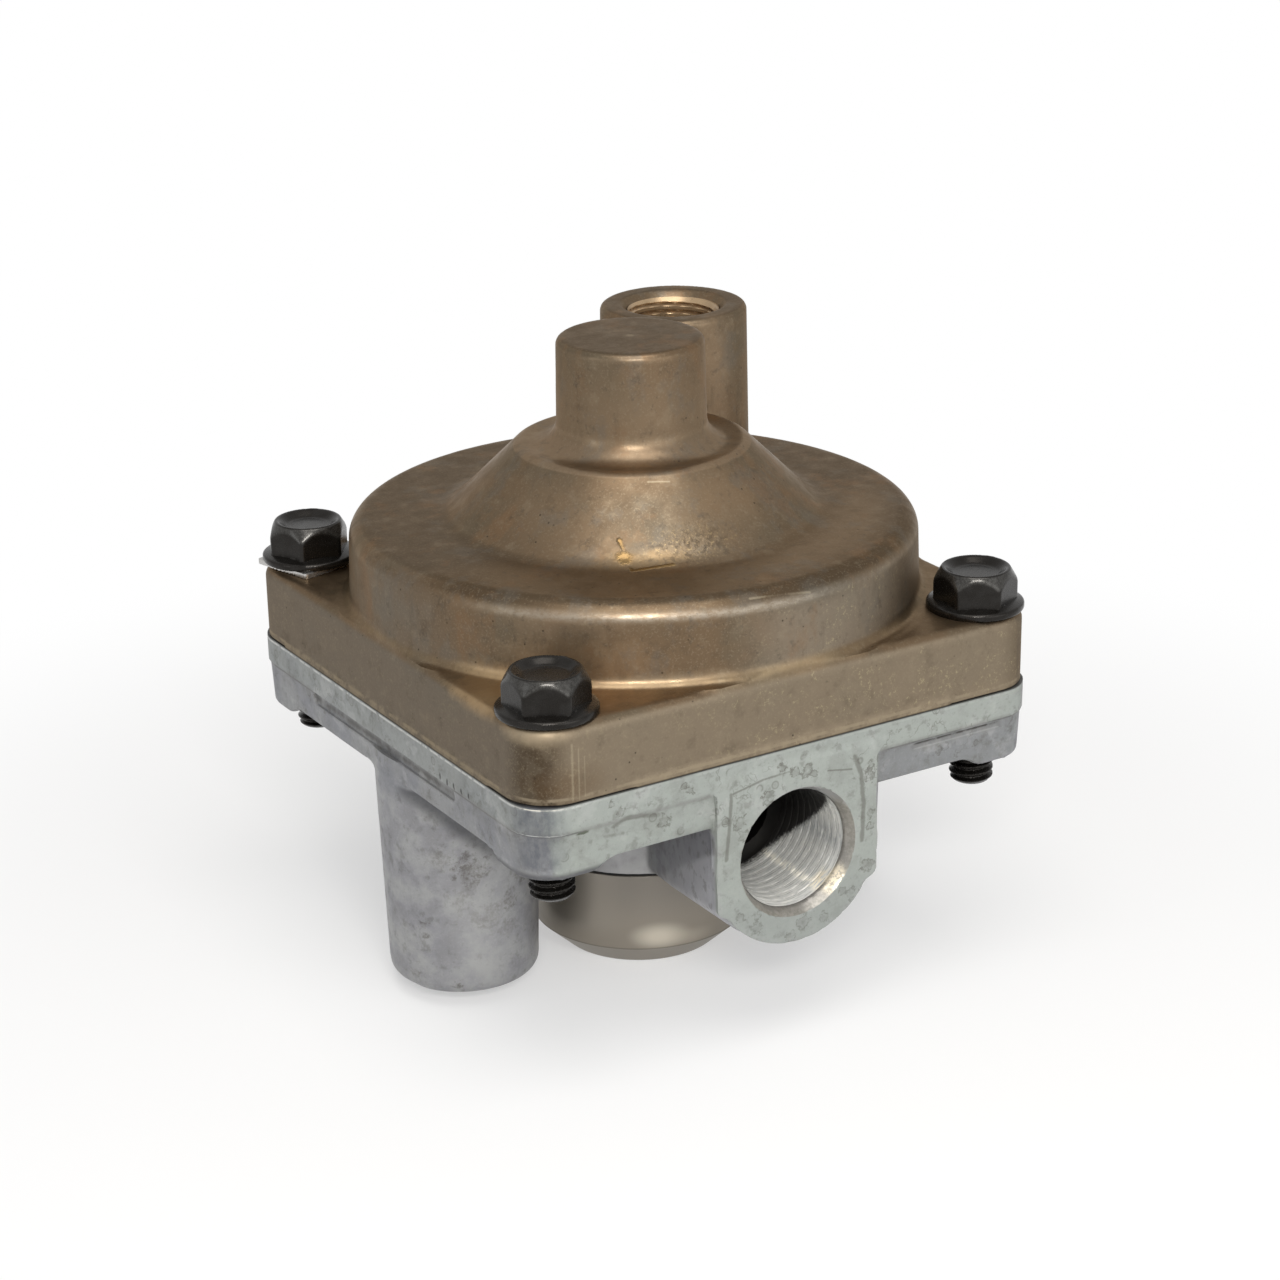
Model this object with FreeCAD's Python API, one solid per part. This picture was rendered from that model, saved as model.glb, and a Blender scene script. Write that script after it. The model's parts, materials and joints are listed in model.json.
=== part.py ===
import FreeCAD, Part

import math
import os

from FreeCAD import Vector

# Service relay valve for an air brake line: a square-flanged control cover bolted on a ported
# valve body, with the relay piston and the inlet and exhaust valve on one vertical axis.
# Millimetres. Origin on that axis at the rim of the exhaust cover, which the valve stands on.
# +Z points up to the control port, -Y out of the supply port, -X to the first delivery port.

# Heights of the stack, from the rim of the exhaust cover upwards
exhaust_cover_height = 19.6
exhaust_seal_thickness = 0.6
body_height = 34.7
body_bottom_z = exhaust_cover_height + exhaust_seal_thickness
split_z = body_bottom_z + body_height

# Square flange that the body and the cover share
flange_side = 104.0
flange_corner_radius = 7.4
flange_half = flange_side / 2
bolt_inset = 8.4
bolt_offset = flange_half - bolt_inset
bolt_places = [(-1, -1), (1, -1), (1, 1), (-1, 1)]

# Body flange: an upper band, a mould line, and a drafted lower band with four corner bosses
body_flange_thickness = 11.7
mould_line_drop = 5.2
lower_band_inset = 0.25
lower_band_draft = 0.35
flange_bottom_z = split_z - body_flange_thickness
mould_line_z = split_z - mould_line_drop
corner_boss_reach = 13.0
corner_boss_root_reach = 15.8
corner_boss_corner_radius = 7.0
corner_boss_drop = 1.9
corner_boss_edge_radius = 1.4
left_slot_span = (-25.2, 28.2)
left_slot_height = 2.2
left_slot_depth = 0.7
left_slot_drop = 1.3
front_slot_span = (24.3, 43.5)
front_slot_height = 1.0
front_slot_depth = 0.4
front_slot_drop = 1.0

# Boss under the body, bored for the supply chamber
lower_boss_radius = 20.4
lower_boss_edge_radius = 0.6
lower_boss_fillet = 4.0
lower_boss_spot_face_margin = 0.6
chamber_radius = 15.0
chamber_roof_drop = 9.2
chamber_roof_z = split_z - chamber_roof_drop

# Supply port: 1/2 in pipe thread in a block on the front
supply_port_height = 15.0
supply_port_z = body_bottom_z + supply_port_height
supply_face_relief = 0.4
supply_face_reach = flange_half + supply_face_relief
supply_face_top_drop = 2.9
supply_block_half_width = 16.5
supply_block_drop = 8.5
supply_block_corner_radius = 1.5
supply_neck_half_width = 8.8
supply_neck_reach = 17.5
supply_round_radius = 16.8
supply_thread_radius = 10.67
supply_mouth_radius = 11.9
supply_mouth_depth = 2.2
supply_thread_depth = 20.0
supply_passage_radius = 7.0

# Delivery ports: 3/8 in pipe thread in two tubes that hang from the flange
delivery_inset = 14.3
delivery_offset = flange_half - delivery_inset
delivery_bottom_z = 2.9
delivery_foot_radius = 13.3
delivery_root_radius = 14.45
delivery_edge_radius = 2.0
delivery_fillet = 1.6
delivery_passage_radius = 5.0

# Pipe thread of the delivery and control ports
port_thread_radius = 8.55
port_mouth_radius = 9.8
port_mouth_depth = 1.25
port_thread_depth = 16.0

# Control cover, heights above the split
cover_side_inset = 0.1
cover_corner_radius = 8.3
cover_flange_thickness = 13.5
cover_flange_edge_radius = 2.0
cover_band_height = 1.15
cover_band_relief = 0.3
cover_front_band_margin = 19.8
cover_side_band_margin = 13.7
drum_inset = 1.2
drum_radius = flange_half - drum_inset
drum_draft = 0.45
drum_height = 28.1
drum_edge_radius = 3.8
drum_foot_radius = 2.2
drum_foot_trim = 0.4
crown_height = 28.4
cone_foot_radius = 33.2
cone_foot_fillet = 6.0
shoulder_radius = 20.4
shoulder_height = 41.0
shoulder_edge_radius = 2.3
shoulder_dip = 0.5
centre_boss_radius = 13.1
centre_boss_draft = 0.35
centre_boss_height = 59.7
centre_boss_fillet = 4.2
boss_edge_radius = 1.3
cover_wall = 5.7
chamber_top_height = 22.7
chamber_corner_radius = 1.0
guide_roof_thickness = 5.0
cavity_cone_foot_radius = 33.0
cavity_cone_top_radius = 16.0
cavity_cone_height = 35.1

# Delivery dish on top of the body, inlet opening and its seat
dish_margin = 2.1
dish_radius = drum_radius - cover_wall - dish_margin
dish_depth = 5.9
dish_edge_radius = 2.0
dish_floor_z = split_z - dish_depth
inlet_opening_radius = 9.0
inlet_collar_radius = 11.5
inlet_collar_height = 1.5
inlet_seat_width = 1.2
inlet_seat_drop = 1.2
inlet_seat_z = chamber_roof_z - inlet_seat_drop

# Control port boss on the cover
control_port_offset = 24.2
control_boss_radius = 13.6
control_boss_draft = 0.5
control_boss_drop = 3.0
control_boss_height = centre_boss_height - control_boss_drop
control_boss_edge_radius = 1.0
control_passage_radius = 3.5

# Hex flange screws, 5/16 in
screw_shank_radius = 3.93
screw_tip_drop = 19.7
screw_tip_z = split_z - screw_tip_drop
screw_tip_chamfer = 0.9
screw_flange_radius = 8.65
screw_flange_thickness = 1.0
screw_flange_rise = 1.5
screw_hex_across_flats = 13.1
screw_flange_foot_radius = 0.45
screw_head_height = 7.45
screw_head_top_radius = 6.0
screw_head_chamfer_height = 1.3
screw_dish_radius = 5.75
screw_dish_floor_radius = 4.6
screw_dish_depth = 0.9
screw_turns = {(-1, -1): 30.0, (1, -1): 27.0, (1, 1): 10.0, (-1, 1): 54.0}
cover_hole_clearance = 0.3
body_hole_clearance = 0.05

# Square plate washer under the left screw
washer_place = (-1, 1)
washer_side = 13.8
washer_thickness = 1.1
washer_corner_radius = 0.6
washer_turn = 15.0
washer_seat_gap = 0.2
washer_seat_radius = washer_side / math.sqrt(2) + washer_seat_gap

# Seal between the flanges
flange_seal_margin = 2.4
flange_seal_radius = drum_radius - cover_wall + flange_seal_margin
flange_seal_cord = 1.2
flange_groove_side_gap = 0.2

# Relay piston
piston_running_clearance = 0.08
piston_top_gap = 0.3
piston_rim_height = 8.8
piston_rim_wall = 4.4
piston_web_thickness = 4.0
piston_web_fillet = 1.5
piston_hub_radius = 10.0
piston_hub_fillet = 2.0
piston_stem_clearance = 0.05
piston_guide_radius = 8.0
piston_stem_top_gap = 6.0
piston_skirt_radius = 7.6
piston_skirt_step_drop = 2.5
piston_skirt_step_z = split_z - piston_skirt_step_drop
piston_stem_foot_bevel = 2.0
piston_rib_count = 6
piston_rib_thickness = 2.4
piston_rib_inner_radius = 17.0
piston_seal_cord = 1.6
piston_groove_gap = 0.1
exhaust_seat_outer_radius = 6.6
exhaust_seat_inner_radius = 5.2
exhaust_gap = 1.5
seat_contact_gap = 0.02

# Inlet and exhaust valve
valve_stem_radius = 6.0
valve_stem_bore = 4.3
valve_stem_bottom_z = body_bottom_z + 1.8
valve_head_radius = 11.2
valve_head_thickness = 2.0
valve_head_lip = 0.5
valve_head_lip_height = 0.8
valve_rubber_thickness = 1.5
valve_rubber_inner_radius = 4.6
spring_washer_thickness = 0.8
spring_washer_radius = 12.0

# Valve guide, its seals and its retaining ring
guide_bottom_rise = 4.3
guide_flange_height = 4.0
guide_side_clearance = 0.1
guide_hub_radius = 9.0
guide_hub_height = 9.0
guide_stem_clearance = 0.06
guide_outer_cord = 0.88
guide_inner_cord = 0.76
guide_inner_seal_rise = 6.0
retaining_ring_thickness = 1.0
retaining_ring_inner_radius = 13.4
retaining_ring_outer_radius = 16.2
retaining_ring_gap_angle = 30.0
retaining_groove_gap = 0.05

# Springs
piston_spring_radius = 14.0
piston_spring_wire = 1.3
piston_spring_turns = 4
valve_spring_radius = 10.3
valve_spring_wire = 1.0
valve_spring_turns = 3
spring_arcs_per_turn = 4
spring_seat_gap = 0.02

# Exhaust cover with its flap
exhaust_cover_radius = 20.4
exhaust_edge_radius = 20.0
exhaust_edge_z = 4.7
exhaust_barrel_z = 9.0
exhaust_barrel_curve = 18.0
exhaust_rim_radius = 14.9
exhaust_rim_width = 1.4
exhaust_wall = 1.8
exhaust_seat_radius = 10.5
exhaust_seat_z = 2.4
exhaust_seat_thickness = 2.0
exhaust_neck_height = 2.7
exhaust_neck_wall = 2.1
exhaust_neck_clearance = 0.1
exhaust_hub_radius = 3.2
exhaust_arm_count = 3
exhaust_arm_width = 2.4
flap_radius = 12.6
flap_thickness = 1.2
rivet_shank_radius = 1.5
rivet_head_radius = 3.4
rivet_tail_radius = 2.4
rivet_head_thickness = 0.8
rivet_hole_clearance = 0.05
wire_ring_cord = 0.6
wire_ring_rise = 1.3
wire_groove_gap = 0.15
wire_ring_gap_angle = 20.0
seal_inset = 0.4

z_axis = Vector(0, 0, 1)
overlap = 1.0


def side(x, z):
    return Vector(x, 0, z)


def outline(corners, place):
    """Closed wire through corners (u, v) or (u, v, radius), where a radius rounds the corner."""
    joints = []
    for index, corner in enumerate(corners):
        point = place(corner[0], corner[1])
        radius = corner[2] if len(corner) > 2 else 0
        if radius == 0:
            joints.append((point, None, point))
            continue
        before = corners[index - 1]
        after = corners[(index + 1) % len(corners)]
        to_before = (place(before[0], before[1]) - point).normalize()
        to_after = (place(after[0], after[1]) - point).normalize()
        half_angle = to_before.getAngle(to_after) / 2
        reach = radius / math.tan(half_angle)
        inward = (to_before + to_after).normalize()
        middle = point + inward * (radius / math.sin(half_angle) - radius)
        joints.append((point + to_before * reach, middle, point + to_after * reach))
    edges = []
    for index, (start, middle, end) in enumerate(joints):
        if middle is not None:
            edges.append(Part.Arc(start, middle, end).toShape())
        following = joints[(index + 1) % len(joints)][0]
        if (following - end).Length > 1e-6:
            edges.append(Part.LineSegment(end, following).toShape())
    return Part.Wire(edges)


def turned(corners, centre=(0, 0), sweep=360.0):
    """Solid of revolution about a vertical axis, from a profile of (radius, height) corners."""
    face = Part.Face(outline(corners, side))
    solid = face.revolve(Vector(0, 0, 0), z_axis, sweep)
    solid.translate(Vector(centre[0], centre[1], 0))
    return solid


def cylinder(radius, low_z, high_z, centre=(0, 0)):
    return Part.makeCylinder(radius, high_z - low_z, Vector(centre[0], centre[1], low_z))


def box_between(low, high):
    size = Vector(*high) - Vector(*low)
    return Part.makeBox(size.x, size.y, size.z, Vector(*low))


def ring_of_cord(ring_radius, cord_radius, z, sweep=360.0):
    """Round ring of round section, left open where the sweep stops short of a full turn."""
    circle = Part.Wire(Part.makeCircle(cord_radius, Vector(ring_radius, 0, z), Vector(0, 1, 0)))
    return Part.Face(circle).revolve(Vector(0, 0, 0), z_axis, sweep)


def square_wire(half, radius, z):
    corners = [(x * half, y * half, radius) for x, y in bolt_places]
    return outline(corners, lambda x, y: Vector(x, y, z))


def square_prism(half, radius, low_z, high_z):
    face = Part.Face(square_wire(half, radius, low_z))
    return face.extrude(Vector(0, 0, high_z - low_z))


def bolt_centre(place):
    return (place[0] * bolt_offset, place[1] * bolt_offset)


def front_cylinder(radius, near_y, far_y, z):
    """Cylinder along Y, from near_y in front to far_y behind."""
    return Part.makeCylinder(radius, far_y - near_y, Vector(0, near_y, z), Vector(0, 1, 0))


def threaded_mouth(thread_radius, mouth_radius, mouth_depth, depth, face, inward):
    """Cutter for a threaded port: its bore and the bevel at its mouth."""
    bore = Part.makeCylinder(thread_radius, depth, face, inward)
    mouth = Part.makeCone(mouth_radius, thread_radius, mouth_depth, face, inward)
    return bore.fuse(mouth)


def delivery_places():
    return [(-delivery_offset, 0), (delivery_offset, 0)]


def make_corner_bosses():
    """Sloped pads under the screws, kept inside the flange outline."""
    low_z = flange_bottom_z - corner_boss_drop
    inset = lower_band_inset + lower_band_draft
    limit = square_prism(flange_half - inset, flange_corner_radius - inset, low_z, mould_line_z)
    edge = [e for e in limit.Edges if e.BoundBox.ZMax < low_z + 1e-6]
    limit = limit.makeFillet(corner_boss_edge_radius, edge)
    foot = square_wire(corner_boss_reach, corner_boss_corner_radius, low_z)
    root = square_wire(corner_boss_root_reach, corner_boss_corner_radius, flange_bottom_z + overlap)
    pad = Part.makeLoft([foot, root], True, True)
    foot_edges = [e for e in pad.Edges if e.BoundBox.ZMax < low_z + 1e-6]
    pad = pad.makeFillet(corner_boss_edge_radius, foot_edges)
    bosses = []
    for x, y in bolt_places:
        boss = pad.copy()
        boss.translate(Vector(x * flange_half, y * flange_half, 0))
        bosses.append(boss.common(limit))
    return bosses


def make_delivery_tubes():
    """Drafted tubes with a rounded foot, and a fillet under the flange that its outline trims."""
    tubes = []
    top_z = mould_line_z - left_slot_drop
    trim = square_prism(
        flange_half - lower_band_inset - lower_band_draft,
        flange_corner_radius,
        delivery_bottom_z,
        flange_bottom_z + overlap,
    )
    for centre in delivery_places():
        tube = turned(
            [
                (0, delivery_bottom_z),
                (delivery_foot_radius, delivery_bottom_z, delivery_edge_radius),
                (delivery_root_radius, top_z),
                (0, top_z),
            ],
            centre,
        )
        flare = turned(
            [
                (0, flange_bottom_z - 2 * delivery_fillet),
                (delivery_root_radius - 0.2, flange_bottom_z - 2 * delivery_fillet),
                (delivery_root_radius - 0.1, flange_bottom_z, delivery_fillet),
                (delivery_root_radius + 2 * delivery_fillet, flange_bottom_z),
                (delivery_root_radius + 2 * delivery_fillet, flange_bottom_z + overlap),
                (0, flange_bottom_z + overlap),
            ],
            centre,
        )
        tubes.append(tube)
        tubes.append(flare.common(trim))
    return tubes


def make_supply_block():
    """Block that narrows from the port face to the chamber, with the round port boss below it."""
    top_z = flange_bottom_z + overlap
    front_low_z = supply_port_z - supply_block_drop

    def section(half_width, y, low_z):
        corners = [
            (-half_width, low_z, supply_block_corner_radius),
            (half_width, low_z, supply_block_corner_radius),
            (half_width, top_z),
            (-half_width, top_z),
        ]
        return outline(corners, lambda x, z: Vector(x, y, z))

    front = section(supply_block_half_width, -supply_face_reach, front_low_z)
    back = section(supply_neck_half_width, -supply_neck_reach, body_bottom_z + 0.2)
    block = Part.makeLoft([front, back], True, True)
    bottom_z = supply_port_z - supply_round_radius
    wedge = Part.Face(
        outline(
            [
                (-supply_block_half_width, -supply_face_reach),
                (supply_block_half_width, -supply_face_reach),
                (supply_neck_half_width, -supply_neck_reach),
                (-supply_neck_half_width, -supply_neck_reach),
            ],
            lambda x, y: Vector(x, y, bottom_z - overlap),
        )
    ).extrude(Vector(0, 0, top_z - bottom_z + overlap))
    rounded = front_cylinder(
        supply_round_radius, -supply_face_reach, -supply_neck_reach, supply_port_z
    ).common(wedge)
    face_top = box_between(
        (-supply_block_half_width, -supply_face_reach, supply_port_z),
        (supply_block_half_width, overlap - flange_half, split_z - supply_face_top_drop),
    )
    return block.fuse([rounded, face_top])


def make_lower_boss():
    """Boss round the supply chamber, with a fillet into the underside of the flange."""
    return turned(
        [
            (0, body_bottom_z),
            (lower_boss_radius, body_bottom_z, lower_boss_edge_radius),
            (lower_boss_radius, flange_bottom_z, lower_boss_fillet),
            (lower_boss_radius + 2 * lower_boss_fillet, flange_bottom_z),
            (lower_boss_radius + 2 * lower_boss_fillet, flange_bottom_z + overlap),
            (0, flange_bottom_z + overlap),
        ]
    )


def edge_slot(centre, along, outward, length, height, depth):
    """Shallow slot with round ends in the side of the flange, under the mould line."""
    half_height = height / 2
    corners = [
        (-length / 2, -half_height, half_height * 0.99),
        (length / 2, -half_height, half_height * 0.99),
        (length / 2, half_height, half_height * 0.99),
        (-length / 2, half_height, half_height * 0.99),
    ]
    face = Part.Face(outline(corners, lambda u, v: centre + along * u + z_axis * v))
    inner = face.extrude(outward * -depth)
    return inner.fuse(face.extrude(outward * overlap))


def edge_slots():
    wall = flange_half - lower_band_inset - lower_band_draft / 4
    low, high = left_slot_span
    left = edge_slot(
        Vector(-wall, (low + high) / 2, mould_line_z - left_slot_drop),
        Vector(0, 1, 0),
        Vector(-1, 0, 0),
        high - low,
        left_slot_height,
        left_slot_depth,
    )
    low, high = front_slot_span
    front = edge_slot(
        Vector((low + high) / 2, -wall, mould_line_z - front_slot_drop),
        Vector(1, 0, 0),
        Vector(0, -1, 0),
        high - low,
        front_slot_height,
        front_slot_depth,
    )
    return [left, front]


def chamber_cutter():
    """Supply chamber with its seat land, inlet opening, ring grooves and the dish above."""
    seat_outer = inlet_opening_radius + inlet_seat_width
    chamber = cylinder(chamber_radius, body_bottom_z - overlap, chamber_roof_z)
    land = cylinder(seat_outer, inlet_seat_z, chamber_roof_z + overlap)
    chamber = chamber.cut(land)
    opening = cylinder(inlet_opening_radius, inlet_seat_z - overlap, split_z)
    dish = turned(
        [
            (0, dish_floor_z),
            (dish_radius, dish_floor_z, dish_edge_radius),
            (dish_radius, split_z + overlap),
            (0, split_z + overlap),
        ]
    )
    collar = turned(
        [
            (0, dish_floor_z - overlap),
            (inlet_collar_radius, dish_floor_z - overlap),
            (inlet_collar_radius, dish_floor_z + inlet_collar_height),
            (0, dish_floor_z + inlet_collar_height),
        ]
    )
    dish = dish.cut(collar)
    guide_bottom_z = body_bottom_z + guide_bottom_rise
    ring_low_z = guide_bottom_z - retaining_ring_thickness - 2 * retaining_groove_gap
    ring_groove = cylinder(
        retaining_ring_outer_radius + retaining_groove_gap, ring_low_z, guide_bottom_z
    )
    wire_z = body_bottom_z + wire_ring_rise
    wire_half = wire_ring_cord + wire_groove_gap
    wire_groove = cylinder(
        chamber_radius + wire_half, wire_z - wire_half, wire_z + wire_half
    )
    return [chamber, opening, dish, ring_groove, wire_groove]


def flange_groove():
    """Groove in the top of the body for the flange seal."""
    half_width = flange_seal_cord + flange_groove_side_gap
    low_z = split_z - 2 * flange_seal_cord
    outer = cylinder(flange_seal_radius + half_width, low_z, split_z + overlap)
    inner = cylinder(flange_seal_radius - half_width, low_z, split_z + overlap)
    return outer.cut(inner)


def make_valve_body():
    upper = square_prism(flange_half, flange_corner_radius, mould_line_z, split_z)
    band_half = flange_half - lower_band_inset
    foot_half = band_half - lower_band_draft
    lower = Part.makeLoft(
        [
            square_wire(foot_half, flange_corner_radius - lower_band_draft, flange_bottom_z),
            square_wire(band_half, flange_corner_radius, mould_line_z),
        ],
        True,
        True,
    )
    additions = [lower, make_lower_boss(), make_supply_block()]
    additions += make_corner_bosses()
    additions += make_delivery_tubes()
    body = upper.fuse(additions)
    cutters = chamber_cutter() + edge_slots() + [flange_groove()]
    spot_face_radius = lower_boss_radius + lower_boss_spot_face_margin
    cutters.append(cylinder(spot_face_radius, delivery_bottom_z, body_bottom_z))
    cutters.append(
        threaded_mouth(
            supply_thread_radius,
            supply_mouth_radius,
            supply_mouth_depth,
            supply_thread_depth,
            Vector(0, -supply_face_reach, supply_port_z),
            Vector(0, 1, 0),
        )
    )
    cutters.append(
        front_cylinder(
            supply_passage_radius, -supply_face_reach + overlap, 0, supply_port_z
        )
    )
    for x, y in delivery_places():
        cutters.append(
            threaded_mouth(
                port_thread_radius,
                port_mouth_radius,
                port_mouth_depth,
                port_thread_depth,
                Vector(x, y, delivery_bottom_z),
                z_axis,
            )
        )
        cutters.append(
            cylinder(
                delivery_passage_radius, delivery_bottom_z + overlap, split_z, (x, y)
            )
        )
    for place in bolt_places:
        hole = screw_shank_radius + body_hole_clearance
        cutters.append(
            cylinder(hole, flange_bottom_z - 2 * overlap - corner_boss_drop,
                     split_z + overlap, bolt_centre(place))
        )
    return body.cut(cutters).removeSplitter()


def cover_profile():
    """Half section of the cover above its flange: drum, crown, cone, shoulder and boss."""
    flange_top_z = split_z + cover_flange_thickness
    foot = drum_foot_radius
    return [
        (0, flange_top_z - overlap),
        (drum_radius + 2 * foot, flange_top_z - overlap),
        (drum_radius + 2 * foot, flange_top_z),
        (drum_radius + drum_draft, flange_top_z, foot),
        (drum_radius, split_z + drum_height, drum_edge_radius),
        (cone_foot_radius, split_z + crown_height, cone_foot_fillet),
        (shoulder_radius, split_z + shoulder_height, shoulder_edge_radius),
        (
            centre_boss_radius + centre_boss_draft,
            split_z + shoulder_height - shoulder_dip,
            centre_boss_fillet,
        ),
        (centre_boss_radius, split_z + centre_boss_height, boss_edge_radius),
        (0, split_z + centre_boss_height),
    ]


def make_cover_flange():
    top_z = split_z + cover_flange_thickness
    half = flange_half - cover_side_inset
    plate = square_prism(half, cover_corner_radius, split_z, top_z)
    edge = [e for e in plate.Edges if e.BoundBox.ZMin > top_z - 1e-6]
    plate = plate.makeFillet(cover_flange_edge_radius, edge)
    reach = half + cover_band_relief
    band_top_z = split_z + cover_band_height
    front_half = flange_half - cover_front_band_margin
    side_half = flange_half - cover_side_band_margin
    across = box_between((-front_half, -reach, split_z), (front_half, reach, band_top_z))
    along = box_between((-reach, -side_half, split_z), (reach, side_half, band_top_z))
    return plate.fuse([across, along])


def cover_cavity():
    """Piston chamber, the cone above it and the blind guide bore for the piston stem."""
    bore = drum_radius - cover_wall
    roof_z = split_z + chamber_top_height
    return turned(
        [
            (0, split_z - overlap),
            (bore, split_z - overlap),
            (bore, roof_z, chamber_corner_radius),
            (cavity_cone_foot_radius, roof_z),
            (cavity_cone_top_radius, split_z + cavity_cone_height),
            (piston_guide_radius, split_z + cavity_cone_height),
            (piston_guide_radius, guide_roof_z()),
            (0, guide_roof_z()),
        ]
    )


def guide_roof_z():
    return split_z + centre_boss_height - guide_roof_thickness


def make_control_cover():
    trim = square_prism(
        flange_half - drum_foot_trim,
        cover_corner_radius,
        split_z,
        split_z + centre_boss_height,
    )
    tower = turned(cover_profile()).common(trim)
    top_z = split_z + control_boss_height
    root_z = split_z + chamber_top_height + overlap
    centre = (control_port_offset, control_port_offset)
    port_boss = turned(
        [
            (0, root_z),
            (control_boss_radius + control_boss_draft, root_z),
            (control_boss_radius, top_z, control_boss_edge_radius),
            (0, top_z),
        ],
        centre,
    )
    cover = make_cover_flange().fuse([tower, port_boss])
    cutters = [
        cover_cavity(),
        threaded_mouth(
            port_thread_radius,
            port_mouth_radius,
            port_mouth_depth,
            port_thread_depth,
            Vector(centre[0], centre[1], top_z),
            Vector(0, 0, -1),
        ),
        cylinder(control_passage_radius, root_z - 3 * overlap, top_z - overlap, centre),
    ]
    for place in bolt_places:
        hole = screw_shank_radius + cover_hole_clearance
        flange_top_z = split_z + cover_flange_thickness
        cutters.append(cylinder(hole, split_z - overlap, flange_top_z, bolt_centre(place)))
        seat = screw_flange_radius + cover_hole_clearance
        if place == washer_place:
            seat = washer_seat_radius
        cutters.append(
            cylinder(seat, flange_top_z, flange_top_z + drum_foot_radius, bolt_centre(place))
        )
    return cover.cut(cutters).removeSplitter()


def make_screw(place):
    """Hex flange screw with a dished head and a bevelled tip."""
    seat_z = split_z + cover_flange_thickness
    tip_z = screw_tip_z
    if place == washer_place:
        seat_z += washer_thickness
        tip_z += washer_thickness
    top_z = seat_z + screw_head_height
    centre = bolt_centre(place)
    corner = screw_hex_across_flats / math.sqrt(3)
    angles = [math.radians(screw_turns[place] + 60 * step) for step in range(6)]
    points = [Vector(corner * math.cos(a), corner * math.sin(a), seat_z) for a in angles]
    hexagon = Part.Face(Part.makePolygon(points + points[:1])).extrude(
        Vector(0, 0, screw_head_height)
    )
    crown = turned(
        [
            (0, seat_z),
            (corner, seat_z),
            (corner, top_z - screw_head_chamfer_height),
            (screw_head_top_radius, top_z),
            (0, top_z),
        ]
    )
    head = hexagon.common(crown)
    flange = turned(
        [
            (0, seat_z),
            (screw_flange_radius, seat_z, screw_flange_foot_radius),
            (screw_flange_radius, seat_z + screw_flange_thickness, 0.4),
            (corner - 0.6, seat_z + screw_flange_thickness + screw_flange_rise),
            (0, seat_z + screw_flange_thickness + screw_flange_rise),
        ]
    )
    shank = turned(
        [
            (0, tip_z),
            (screw_shank_radius - screw_tip_chamfer, tip_z),
            (screw_shank_radius, tip_z + screw_tip_chamfer),
            (screw_shank_radius, seat_z + overlap),
            (0, seat_z + overlap),
        ]
    )
    dish = turned(
        [
            (0, top_z - screw_dish_depth),
            (screw_dish_floor_radius, top_z - screw_dish_depth),
            (screw_dish_radius, top_z),
            (0, top_z),
        ]
    )
    screw = head.fuse([flange, shank]).cut(dish).removeSplitter()
    screw.translate(Vector(centre[0], centre[1], 0))
    return screw


def make_cover_bolts():
    return Part.makeCompound([make_screw(place) for place in bolt_places])


def make_square_washer():
    """Square plate under the left screw, lying on the cover with its corners past the head."""
    x, y = bolt_centre(washer_place)
    low_z = split_z + cover_flange_thickness
    high_z = low_z + washer_thickness
    plate = square_prism(washer_side / 2, washer_corner_radius, low_z, high_z)
    plate.rotate(Vector(0, 0, 0), z_axis, washer_turn)
    plate.translate(Vector(x, y, 0))
    hole = screw_shank_radius + cover_hole_clearance
    return plate.cut(cylinder(hole, low_z - overlap, high_z + overlap, (x, y)))


def make_flange_seal():
    return ring_of_cord(flange_seal_radius, flange_seal_cord, split_z - flange_seal_cord)


def piston_sizes():
    """Heights and radii that the piston, its seal and its spring share."""
    bore = drum_radius - cover_wall
    top_z = split_z + chamber_top_height - piston_top_gap
    return {
        "radius": bore - piston_running_clearance,
        "top_z": top_z,
        "rim_low_z": top_z - piston_rim_height,
        "web_low_z": top_z - piston_web_thickness,
        "seat_z": inlet_seat_z + exhaust_gap + seat_contact_gap,
        "groove_z": top_z - piston_rim_height / 2,
    }


def make_relay_piston():
    size = piston_sizes()
    stem_top_z = guide_roof_z() - piston_stem_top_gap
    stem_radius = piston_guide_radius - piston_stem_clearance
    groove_floor = size["radius"] - 2 * piston_seal_cord
    groove_half = piston_seal_cord + piston_groove_gap
    rim_inner = size["radius"] - piston_rim_wall - piston_seal_cord
    piston = turned(
        [
            (0, size["seat_z"]),
            (exhaust_seat_outer_radius, size["seat_z"]),
            (exhaust_seat_outer_radius, piston_skirt_step_z),
            (piston_skirt_radius, piston_skirt_step_z + 1.0),
            (piston_hub_radius, size["web_low_z"], piston_hub_fillet),
            (rim_inner, size["web_low_z"], piston_web_fillet),
            (rim_inner, size["rim_low_z"]),
            (size["radius"], size["rim_low_z"]),
            (size["radius"], size["groove_z"] - groove_half),
            (groove_floor, size["groove_z"] - groove_half),
            (groove_floor, size["groove_z"] + groove_half),
            (size["radius"], size["groove_z"] + groove_half),
            (size["radius"], size["top_z"], chamber_corner_radius),
            (stem_radius + piston_stem_foot_bevel, size["top_z"]),
            (stem_radius, size["top_z"] + piston_stem_foot_bevel),
            (stem_radius, stem_top_z, 1.0),
            (0, stem_top_z),
        ]
    )
    ribs = []
    for step in range(piston_rib_count):
        rib = box_between(
            (piston_rib_inner_radius, -piston_rib_thickness / 2, size["rim_low_z"] + 1.5),
            (rim_inner + 0.5, piston_rib_thickness / 2, size["web_low_z"] + 0.5),
        )
        rib.rotate(Vector(0, 0, 0), z_axis, step * 360.0 / piston_rib_count)
        ribs.append(rib)
    bore = cylinder(
        exhaust_seat_inner_radius, size["seat_z"] - overlap, piston_skirt_step_z
    )
    return piston.fuse(ribs).cut(bore).removeSplitter()


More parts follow.
